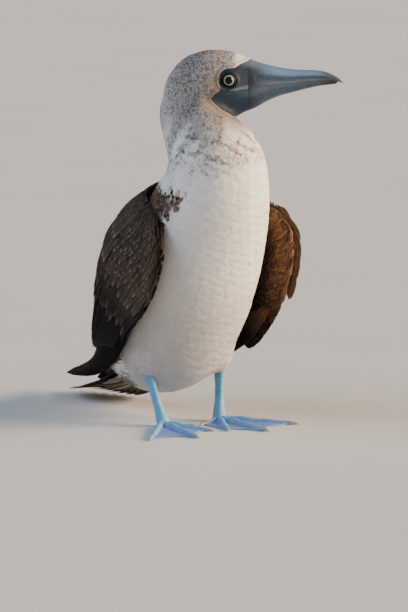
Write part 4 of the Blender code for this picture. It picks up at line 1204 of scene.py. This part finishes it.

# The wings. Each is folded on a curved sheet from the bend of the wing to its tip: a thin fleshy
# core, ten primaries, the secondaries and tertials over them, and tiers of coverts on top, all
# overlapping from the back downward, dark brown with paler edges. The core holds all the roots.
# The far wing's brown carries painted warm sunlight.
# Each wing's side, and its sheet's lower and back edge from the bend to the tip, mm
WINGS = {
    "right": (-1,
              [(81, -48, 259), (95, -75, 223), (97, -54, 167), (92, 0, 121), (79, 60, 79),
               (46, 163, 46), (14, 292, 25)],
              [(26, 18, 300), (37, 55, 276), (40, 92, 236), (34, 124, 184), (27, 147, 136),
               (21, 172, 98), (18, 224, 64), (10, 290, 32)]),
    "left": (1,
             [(94, -50, 265), (108, -65, 230), (108, -60, 179), (100, -33, 121), (88, 19, 77),
              (56, 144, 52), (14, 288, 33)],
             [(26, 18, 300), (37, 53, 277), (41, 89, 237), (36, 120, 186), (28, 144, 138),
              (21, 169, 101), (17, 221, 68), (9, 287, 39)]),
}
WING_BULGE, WING_ROUND, WING_SWELL = 42.0, 1.7, 0.22
LIT_SHARE = {"right": 0.10, "left": 1.0}  # how much painted warm sunlight each wing's brown carries
SECONDARY_ENDS = [(0.0, 0.49), (0.2, 0.56), (0.4, 0.635), (0.65, 0.62), (1.0, 0.585)]
# The scapulars' rows: where they start and end along the sheet, and how high their tips stand
SCAPULARS = [(0.16, 0.44, 3.2), (0.08, 0.36, 3.7), (0.02, 0.26, 4.1), (-0.02, 0.17, 4.4)]
WING_DARK = np.array((0.0032, 0.0025, 0.0022))
WING_BROWN = np.array((0.0430, 0.0345, 0.0290))
# Painted warm sunlight: the brown of the far wing where the low lamp would light it.
WING_SUNLIT = np.array((0.150, 0.080, 0.045))
FLIGHT_ROWS = np.linspace(0, 1, 14)
FLIGHT_SHAPE = np.array((0.35, 0.6, 0.85, 1, 1, 1, 1, 1, 0.98, 0.95, 0.88, 0.76, 0.55, 0))
COVERT_ROWS = np.array((0, 0.18, 0.36, 0.54, 0.70, 0.82, 0.91, 0.97, 1.0))
COVERT_SHAPE = np.array((0.45, 0.75, 0.95, 1.0, 0.98, 0.90, 0.74, 0.48, 0))


def slab_faces(rows, columns):
    """Faces of a closed slab whose upper and lower side are grids of points."""
    count = rows * columns
    faces = []
    for i in range(rows - 1):
        for j in range(columns - 1):
            a = i * columns + j
            faces.append((a, a + 1, a + columns + 1, a + columns))
            faces.append((count + a, count + a + columns, count + a + columns + 1, count + a + 1))
    border = list(range(columns)) + [i * columns + columns - 1 for i in range(1, rows)]
    border += [(rows - 1) * columns + j for j in range(columns - 2, -1, -1)]
    border += [i * columns for i in range(rows - 2, 0, -1)]
    for a, b in zip(border, border[1:] + border[:1]):
        faces.append((b, a, count + a, count + b))
    return faces


def pairs(first, second):
    """Two rows of values, or a value and a row, as pairs."""
    return np.stack(np.broadcast_arrays(first, second), axis=1)


class WingSheet:
    """The curved sheet that a folded wing lies on. s runs from bend to tip, t from low to back."""

    def __init__(self, side, low, back, samples=61):
        self.side = side
        self.low, self.back = (self.even(edge, samples) for edge in (low, back))
        self.shares = np.linspace(0, 1, samples)
        self.outward = 1.0
        self.outward = np.sign(self.frame(np.array([0.3]), 0.5)[1][0, 0]) * side

    def even(self, points, samples):
        """An edge read at even steps along it."""
        fine = smooth_rows(points, 200)
        fine[:, 0] *= self.side
        run = np.concatenate([[0], np.cumsum(np.linalg.norm(np.diff(fine, axis=0), axis=1))])
        spots = np.linspace(0, run[-1], samples)
        return np.stack([np.interp(spots, run, fine[:, k]) for k in range(3)], axis=1)

    def flat(self, s, t):
        """Points of the sheet, mm."""
        low, back = (np.stack([np.interp(s, self.shares, edge[:, k]) for k in range(3)], axis=-1)
                     for edge in (self.low, self.back))
        chord = back - low
        out = np.stack([chord[..., 1], -chord[..., 0], 0 * s], axis=-1) * self.side
        rise = np.clip(s / WING_SWELL, 0, 1)
        bulge = WING_BULGE * (1 - s) * (0.5 + 0.5 * rise * rise * (3 - 2 * rise))
        bulge = bulge * np.sin(math.pi * np.clip(t, 0, 1) ** WING_ROUND)
        return low + chord * t[..., None] + unit(out) * bulge[..., None]

    def frame(self, s, t):
        """Points in mm and the sheet's outward normals."""
        s = np.clip(s, 0.01, 0.99)
        t = t + 0 * s
        along = self.flat(s + 0.01, t) - self.flat(s - 0.01, t)
        across = self.flat(s, t + 0.01) - self.flat(s, t - 0.01)
        over = unit(np.cross(along, across)) * self.outward
        return self.flat(s, t), over

    def lay(self, starts, ends, rows, heights, rise=1.0):
        """Lines over the sheet, from (s, t) to (s, t), their height going from one to another."""
        starts, ends, heights = (np.asarray(v, float) for v in (starts, ends, heights))
        s = starts[:, :1] + (ends[:, :1] - starts[:, :1]) * rows
        t = starts[:, 1:] + (ends[:, 1:] - starts[:, 1:]) * rows
        here, over = self.frame(s, t)
        height = heights[:, :1] + (heights[:, 1:] - heights[:, :1]) * np.minimum(1, rows / rise)
        return from_ankles(here + over * height[..., None]), over, s, t

    def core(self):
        """The fleshy core's two faces as one closed mesh: points in metres, and faces."""
        f, g = np.meshgrid(np.linspace(0, 1, 26), np.linspace(0, 1, 20), indexing="ij")
        here, over = self.frame(0.42 * f * (1 - 0.25 * g), 0.02 + 0.94 * g)
        rim = np.sin(math.pi * np.minimum(1.0, 0.12 + g * 0.95)) ** 0.5
        thick = (8.0 * (1 - f) ** 0.8 + 1.4) * (0.35 + 0.65 * rim)
        points = np.concatenate([(here - over * 0.6).reshape(-1, 3),
                                 (here - over * (thick + 0.6)[..., None]).reshape(-1, 3)])
        return from_ankles(points), slab_faces(*f.shape)


def wing_tint(s, t, warm):
    """Brown towards the shoulder and blackish towards the tip, with painted warm sunlight on the
    far wing.
    """
    brown = WING_BROWN + (WING_SUNLIT - WING_BROWN) * np.asarray(warm)[..., None]
    dark = step(s, 0.22, 0.42)[..., None] * 0.97 + step(0.14 - t, 0.0, 0.14)[..., None] * 0.4
    return brown + (WING_DARK - brown) * np.clip(dark, 0, 1)


for name, (side, low, back) in WINGS.items():
    sheet = WingSheet(side, low, back)
    wing = Feathers()
    draw = np.random.default_rng(61 + side)
    warm = LIT_SHARE[name]

    def tier(starts, ends, width, heights, rim, rows=COVERT_ROWS, shape=COVERT_SHAPE, columns=7,
             roll=0.4, rise=1.0, shade=1.0, camber=0.10, jitter=0.004):
        """A row of feathers over the sheet, from (s, t) to (s, t), each over the one before."""
        starts, ends = np.array(starts, float), np.array(ends, float)
        starts += draw.normal(0, jitter * 0.5, starts.shape)
        ends += draw.normal(0, jitter, ends.shape)
        lines, overs, s, t = sheet.lay(starts, ends, rows, heights, rise)
        count = len(starts)
        widths = width * draw.uniform(0.93, 1.07, count)[:, None] * shape
        # Painted warm sunlight on the wing's brown, strongest along the sheet's low edge.
        tint = wing_tint(s, t, warm * (0.26 + 0.74 * (1 - step(t, 0.10, 0.40)))) * shade
        high = 0.75 * step(ankle_mm(lines)[..., 2:], 262, 288)
        tint = tint + (BROWN * 1.5 - tint) * high
        tint = tint * draw.uniform(0.78, 1.25, count)[:, None, None]
        worn = rim * draw.uniform(0.15, 1.0, count)
        wing.add(lines, overs, widths, tint, columns, 0.35, camber, worn, roll=roll * side)

    # The primaries, nested under all the others
    f = np.linspace(0, 1, 10)
    heights = -1.9 - 0.66 * (9 - 9 * f)
    tier(pairs(0.20 + 0.08 * f, 0.10 + 0.14 * f), pairs(0.985 - 0.33 * f, 0.10 + 0.26 * f), 17.0,
         pairs(np.maximum(heights, -3.5), heights), 0.06, FLIGHT_ROWS, FLIGHT_SHAPE, roll=0.0,
         rise=0.3, camber=0.05, jitter=0.0)
    # The secondaries and tertials
    f = np.linspace(0, 1, 18)
    ends = np.interp(f, *zip(*SECONDARY_ENDS))
    tier(pairs(0.20 - 0.06 * f, 0.12 + 0.76 * f), pairs(ends, 0.14 + 0.78 * f), 17.0,
         [(-2.6, 0.6)], 0.14, FLIGHT_ROWS, FLIGHT_SHAPE, roll=0.8, jitter=0.003)
    # The greater and the median coverts
    f = np.linspace(0, 1, 17)
    tier(pairs(0.12, 0.06 + 0.80 * f), pairs(0.385 + 0.03 * f, 0.06 + 0.82 * f), 16.0,
         [(-3.0, 1.3)], 0.30, roll=0.7, jitter=0.012)
    tier(pairs(0.07, 0.08 + 0.80 * f), pairs(0.305 + 0.02 * f, 0.08 + 0.81 * f), 15.0,
         [(-2.6, 1.8)], 0.45, roll=0.7, jitter=0.012)
    # The lesser coverts, row over row up to the bend of the wing
    for row in range(11):
        reach = 0.245 - 0.0235 * row
        f = np.linspace(0, 1, 22) + (row % 2) * 0.023
        tier(pairs(reach - 0.085, 0.94 * f), pairs(reach + 0.03 * f, 0.94 * f), 11.5,
             [(-1.2, 2.0 + 0.10 * row)], 0.8, SCALE_ROWS, SCALE_SHAPE, columns=5, roll=0.5,
             jitter=0.008)
    # The scapulars, over the wing's back edge
    for row, (root, reach, rise) in enumerate(SCAPULARS):
        f = np.linspace(0, 1, 7 + row)
        t = 0.60 + 0.38 * f
        tier(pairs(root, t), pairs(reach - 0.06 * f, t), 17.0, [(-2.0, rise)], 0.55, roll=0.5,
             shade=1.1)
    points, faces = sheet.core()
    core = mesh_object("wing_" + name + "_core", points, faces, quill)
    face_out(core)
    store(core.data, "tint", "FLOAT_COLOR", np.repeat(WING_BROWN[None] * 0.6, len(points), 0))
    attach(core, "root")
    # Small feathers over the core, on both its faces
    flesh = Surface(core.data)
    roots, normals = flesh.near(flesh.scatter(3.6, 81, lambda places: np.ones(len(places))))
    way = unit(sheet.low[40] - sheet.low[8]) + 0.2 * unit(sheet.back[40] - sheet.back[8])
    ways = unit(way + draw.normal(0, 0.08, roots.shape))
    heights = np.repeat(np.array([(-0.1, 0.3, 0.5, 0.75, 1.0, 1.2)]), len(roots), 0)
    lines, overs = flesh.lay(roots, ways, draw.uniform(10, 14, len(roots)), SCALE_ROWS, heights)
    gaps = np.linalg.norm(ankle_mm(roots)[:, None] - sheet.low[None], axis=2)
    along = sheet.shares[gaps.argmin(1)][:, None] + 0 * lines[..., 0]
    # Painted warm sunlight on the core's feathers near the wing's low edge.
    lit = (1 - step(gaps.min(1), 10, 40))[:, None] + 0 * lines[..., 0]
    tint = wing_tint(along * 1.3, 0.5 + 0 * along, warm * (0.15 + 0.85 * lit))
    # Painted shade: on the near (right) wing these feathers are made far darker, for the shade at
    # its front edge.
    tint = tint * draw.uniform(0.35, 1.0, (len(roots), 1, 1)) * (1 if side > 0 else 0.12)
    widths = 5.5 * draw.uniform(0.8, 1.1, (len(roots), 1)) * SCALE_SHAPE
    wing.add(lines, overs, widths, tint, 5, thick=0, rim=0.25)
    vanes = wing.build("wing_" + name + "_feathers", quill)
    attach(vanes, "root")
    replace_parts(vanes, "wing_" + name)

# The tail. Fourteen stiff pointed feathers in a wedge, the middle pair longest and on top, with
# soft coverts over and under their roots in the rump. It droops and rests on the floor.
TAIL_LENGTH, TAIL_DROOP, TAIL_END, TAIL_ROLL = 186.0, 27.0, 3.0, 20.0
TAIL_STEPS = 24
TAIL_PAIRS = 7
TAIL_ROOT = (0.0, 100.0, 55.8)
TAIL_DARK = np.array((0.014, 0.0105, 0.009))
TAIL_SHAPE = np.array((0.3, 0.5, 0.75, 0.9, 1, 1, 1, 0.98, 0.93, 0.84, 0.7, 0.5, 0.3, 0))
# The rump's rings: how far back, half width and half depth
RUMP = [(-4, 22, 13), (14, 23, 11), (42, 18, 6.5), (68, 8, 2)]


def tail_line():
    """The tail's middle line, and its left and upper side at each point, in mm."""
    steps = np.linspace(0, 1, TAIL_STEPS)
    droop = np.radians(TAIL_DROOP + (TAIL_END - TAIL_DROOP) * steps)
    back = np.stack([0 * steps, np.cos(droop), -np.sin(droop)], 1)
    left = np.array((1.0, 0, 0)) + 0 * back
    top = np.cross(left, back)
    turn = (math.radians(TAIL_ROLL) * (1 - 0.7 * steps))[:, None]
    middle = np.cumsum(back, axis=0) * TAIL_LENGTH / (TAIL_STEPS - 1)
    middle = np.array(TAIL_ROOT) + np.concatenate([np.zeros((1, 3)), middle[:-1]])
    return (middle, left * np.cos(turn) - top * np.sin(turn),
            top * np.cos(turn) + left * np.sin(turn))


def tail_place(along, sideways, up):
    """Places in metres, from mm along the tail, to its left and above its middle line."""
    spots = np.linspace(0, TAIL_LENGTH, TAIL_STEPS)
    here, left, top = (np.stack([np.interp(along, spots, rows[:, k]) for k in range(3)], -1)
                       for rows in tail_line())
    here = here + left * sideways[..., None] + top * up[..., None]
    here[..., 2] = np.maximum(here[..., 2], 0.6)
    return from_ankles(here), top


draw = np.random.default_rng(71)
tail = Feathers()
for rank in range(TAIL_PAIRS):
    for side in (-1, 1):
        outer = rank / (TAIL_PAIRS - 1)
        fan = math.radians(1.0 + 13.5 * outer)
        length = TAIL_LENGTH * (1 - 0.42 * outer**1.25)
        along = 8 + (length - 8) * FLIGHT_ROWS
        sideways = side * (1.2 + 13.5 * outer) + side * math.tan(fan) * along
        up = -0.62 * (2 * rank + (side > 0)) * np.minimum(1, along / 60)
        lines, overs = tail_place(along, sideways, up)
        widths = 17.0 * TAIL_SHAPE
        paler = 1 + 0.9 * step(along / length, 0.88, 1)
        tint = TAIL_DARK * draw.uniform(0.8, 1.5) * paler[:, None]
        tail.add(lines[None], overs[None], widths[None], tint[None], 7, 0.4, 0.10, rim=0.38)
for upper in (True, False):
    for row in range(4):
        count = 9 - row
        place = np.linspace(-1, 1, count)[:, None]
        way = 1 if upper else -1
        end = 96.0 - 18.0 * row if upper else 90.0 - 16.0 * row
        end = end - (14.0 if upper else 20.0) * place**2
        start = 34.0 - 10.0 * row
        along = start + (end - start) * COVERT_ROWS
        sideways = place * (21.0 + 3.0 * COVERT_ROWS)
        rise = ((9.0 - 1.0 * row) * (1 - COVERT_ROWS) + 2.0 + 1.2 * row) * (1 + 0 * place) * way
        rise = rise - (0 if upper else 5.0) * COVERT_ROWS
        lines, overs = tail_place(along, sideways, rise)
        overs = overs * way
        widths = 15.0 * draw.uniform(0.9, 1.1, (count, 1)) * COVERT_SHAPE
        pale = np.clip(0.25 * row + draw.uniform(-0.3, 0.3, (count, 1, 1)), 0, 1)
        tint = WING_BROWN + (CREAM * 0.8 - WING_BROWN) * pale + 0 * lines
        tail.add(lines, overs, widths, tint, 5, 0.35, 0.12, rim=0.8)
rings = []
turns = np.linspace(0, 2 * math.pi, 20, endpoint=False)
for along, wide, deep in RUMP:
    points, _ = tail_place(along + 0 * turns, wide * np.cos(turns), deep * np.sin(turns))
    rings.append(points)
rump = loft_mesh("tail_root", rings, quill)
store(rump.data, "tint", "FLOAT_COLOR", np.repeat(WING_BROWN[None], len(rump.data.vertices), 0))
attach(rump, "root")
tail_piece = tail.build("tail_vanes", quill)
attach(tail_piece, "root")
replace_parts(tail_piece, "tail")

# The legs and feet. Scaly skin over bone, bright blue: plates down the front of each shank and
# across the top of each toe, a thin web with fine folds between all four toes, horny claws.
# Each toe's heading, length and its radius at the knuckle and the tip
TOES = {"outer": (36.0, 92.0, 4.8, 2.4), "middle": (0.0, 88.0, 5.0, 2.5),
        "inner": (-30.0, 66.0, 4.6, 2.3), "hind": (-72.0, 33.0, 3.6, 2.0)}
# Each leg's side, its ankle, the foot's middle and the foot's heading
LEGS = {"right": (-1, ANKLES["right"], (-38, 8, 8), 5.0),
        "left": (1, ANKLES["left"], (38, -2, 8), 6.0)}
# The shank's half depth and half width by the share of the way up it
TARSUS = [(0.0, 8.4, 7.6), (0.16, 7.4, 6.2), (0.4, 6.4, 4.8), (0.7, 6.3, 4.7), (0.9, 7.6, 5.8),
          (1.15, 8.0, 6.4)]
PLATE_GAP, TOE_PLATE_GAP, PLATE_RISE = 4.2, 2.6, 0.30
WEB_DIP, WEB_ROWS, CLAW_LENGTH, CLAW_ROOT = 0.15, 14, 8.5, 1.2
FOOT_VOXEL = 0.75
LEG_BLUE = np.array((0.10, 0.40, 0.62))
WEB_BLUE = np.array((0.17, 0.27, 0.62))
TOE_BLUE = np.array((0.14, 0.42, 0.72))
SCALE_GAP, SCALE_PALE = (0.04, 0.10, 0.22), (0.36, 0.55, 0.80)
NAIL = (0.34, 0.30, 0.25)


def scale_finish(name, cell):
    """Bird's leg skin: small raised scales, darker between them."""
    made, shader = finish(name, roughness=0.45, Specular_IOR_Level=0.45)
    tint = stored(made, "tint", "Color")
    gaps = node(made, "ShaderNodeTexVoronoi", {"Vector": model_place(made), "Scale": 1 / cell / MM},
                feature="DISTANCE_TO_EDGE").outputs["Distance"]
    between = smooth_step(made, gaps, 0.16, 0.0, 0.35)
    colour = blend(made, between, tint, SCALE_GAP)
    cloudy = smooth_step(made, grain(made, 90.0, 4.0), 0.35, 0.75, 0.35)
    colour = blend(made, cloudy, colour, SCALE_PALE)
    feed(made, shader, "Base Color", colour)
    rough = smooth_step(made, grain(made, 260.0), 0.3, 0.7, 0.25)
    feed(made, shader, "Roughness", sums(made, "ADD", rough, 0.34))
    raised = smooth_step(made, gaps, 0.0, 0.25)
    relief = sums(made, "ADD", raised, sums(made, "MULTIPLY", grain(made, 700.0), 0.6))
    bump(made, shader, relief, 0.00022, 0.8)
    return made


def toe_way(heading, side, spread):
    """The way a toe points, level with the floor."""
    angle = math.radians(heading + spread) * side
    return np.array((math.sin(angle), -math.cos(angle), 0.0))


def tarsus_rings(ankle, base, low, high, count, around=28):
    """Rings up the shank, with the edges of its plates standing out down its front."""
    ankle, base = np.array(ankle, float), np.array(base, float)
    way = unit(ankle - base)
    side = unit(np.cross(way, (0.0, 1.0, 0.0)))
    front = np.cross(side, way)
    table = np.array(TARSUS)
    rings = []
    for share in np.linspace(low, high, count):
        deep, wide = (np.interp(share, table[:, 0], table[:, k]) for k in (1, 2))
        run = share * np.linalg.norm(ankle - base) / PLATE_GAP
        plate = PLATE_RISE * (1 - run % 1.0) ** 1.5
        ring = []
        for a in np.linspace(0, 2 * math.pi, around, endpoint=False):
            facing = max(0.0, -math.sin(a) if front[1] > 0 else math.sin(a)) ** 0.5
            swell = 1 + plate * facing / deep
            ring.append(base + (ankle - base) * share + side * wide * math.cos(a) * swell
                        + front * deep * math.sin(a) * swell)
        rings.append(ring)
    return from_ankles(rings)


def toe_rings(base, heading, side):
    """The foot's middle on the floor, and rings along each of its toes, in mm."""
    pieces = []
    base = np.array((base[0], base[1], 0.0))
    for spread, length, knuckle, tip in TOES.values():
        ahead = toe_way(heading, side, spread)
        left = np.array((-ahead[1], ahead[0], 0.0))
        rings = []
        for share in np.linspace(-0.02, 1, 26):
            bulge = 1 + 0.13 * math.cos(share * 6 * math.pi) * (1 - share)
            radius = (knuckle + (tip - knuckle) * share) * bulge
            ring = []
            for a in np.linspace(0, 2 * math.pi, 16, endpoint=False):
                point = base + ahead * length * share + left * radius * math.cos(a)
                point[2] = max(radius * (0.8 + math.sin(a)), -0.3)
                ring.append(point)
            rings.append(ring)
        pieces.append(np.array(rings))
    return base, pieces


def web_shell(base, heading, side):
    """The web's upper and lower face over a fan from the foot's middle to its edge."""
    order = ["hind", "inner", "middle", "outer"]
    rim = []
    for first, second in zip(order, order[1:]):
        for f in np.linspace(0, 1, 13)[:13 if second == "outer" else 12]:
            spread = TOES[first][0] * (1 - f) + TOES[second][0] * f
            reach = TOES[first][1] * (1 - f) + TOES[second][1] * f
            reach *= 0.97 * (1 - WEB_DIP * math.sin(math.pi * f))
            rim.append(toe_way(heading, side, spread) * reach)
    rim = np.array(rim)
    shares = np.linspace(0.04, 1, WEB_ROWS)[:, None, None]
    top = base + rim[None] * shares
    low = top.copy()
    top[..., 2] = 1.9 + 2.0 * (1 - shares[..., 0]) ** 2
    low[..., 2] = 0.2
    points = np.concatenate([top.reshape(-1, 3), low.reshape(-1, 3)])
    return points, slab_faces(WEB_ROWS, len(rim))


scales = scale_finish("leg_scales", 1.5)
nail = finish("nail", roughness=0.4, colour=NAIL)[0]
for name, (side, ankle, base, heading) in LEGS.items():
    shank = loft_mesh("leg_" + name + "_skin", tarsus_rings(ankle, base, 0.02, 1.15, 110), scales)
    height = ankle_mm(read(shank.data, "co"))[:, 2]
    tint = LEG_BLUE * (1 - 0.25 * step(height, 40, 62)[:, None])
    store(shank.data, "tint", "FLOAT_COLOR", tint)
    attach(shank, "root")
    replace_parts(shank, "leg_" + name)

    middle, toes = toe_rings(base, heading, side)
    points, faces = web_shell(middle, heading, side)
    points = points.tolist()
    for rings in toes + [ankle_mm(tarsus_rings(ankle, base, -0.14, 0.10, 14))]:
        first, around = len(points), rings.shape[1]
        points += rings.reshape(-1, 3).tolist()
        for i in range(len(rings) - 1):
            for j in range(around):
                k = (j + 1) % around
                a, b = first + i * around, first + (i + 1) * around
                faces.append((a + j, a + k, b + k, b + j))
        faces.append(tuple(range(first + around - 1, first - 1, -1)))
        faces.append(tuple(range(len(points) - around, len(points))))
    foot = mesh_object("foot_" + name + "_skin", from_ankles(points), faces)
    foot = remeshed(foot, FOOT_VOXEL, rounds=4)
    co = read(foot.data, "co")
    normals = read(foot.data, "normal")
    mm = ankle_mm(co)
    tint = np.repeat(WEB_BLUE[None], len(mm), axis=0)
    raised = np.zeros(len(mm))
    for spread, length, knuckle, tip in TOES.values():
        ahead = toe_way(heading, side, spread)
        offset = mm[:, :2] - np.array(base[:2])
        run = offset @ ahead[:2]
        gap = np.abs(offset @ np.array((-ahead[1], ahead[0])))
        radius = np.interp(run, (0, length), (knuckle, tip))
        on_toe = (1 - step(gap, radius * 0.7, radius * 1.15)) * (run > 2) * (run < length + 3)
        plate = 1 - (run / TOE_PLATE_GAP) % 1.0
        raised = np.maximum(raised, on_toe * PLATE_RISE * plate**1.5 * (mm[:, 2] > 1.5))
        tint = tint + (TOE_BLUE * (0.80 + 0.3 * plate[:, None]) - tint) * on_toe[:, None]
    up = step(mm[:, 2], 6, 14)[:, None]
    tint = tint + (LEG_BLUE - tint) * up
    co = co + normals * raised[:, None] * MM
    co[:, 2] = np.maximum(co[:, 2], 0.0)
    foot.data.vertices.foreach_set("co", co.ravel())
    foot.data.update()
    store(foot.data, "tint", "FLOAT_COLOR", tint)
    foot.data.materials.clear()
    foot.data.materials.append(scales)
    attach(foot, "root")
    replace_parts(foot, "foot_" + name)

    for which, (spread, length, knuckle, tip) in TOES.items():
        ahead = toe_way(heading, side, spread)
        left = np.array((-ahead[1], ahead[0], 0.0))
        start = np.array((base[0], base[1], 0.0)) + ahead * (length - CLAW_ROOT)
        rings = []
        for share in np.linspace(0, 1, 10):
            radius = tip * 0.92 * (1 - share) ** 0.7 + 0.2
            middle = start + ahead * (CLAW_LENGTH + CLAW_ROOT) * share
            rise = tip * (1.05 - 0.65 * share**1.6) + 0.1
            ring = []
            for a in np.linspace(0, 2 * math.pi, 14, endpoint=False):
                point = middle + left * radius * 0.75 * math.cos(a)
                point[2] = max(rise + radius * math.sin(a), 0.05)
                ring.append(point)
            rings.append(ring)
        claw = loft_mesh(f"claw_{name}_{which}_horn", from_ankles(rings), nail)
        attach(claw, "root")
        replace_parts(claw, f"claw_{name}_{which}")
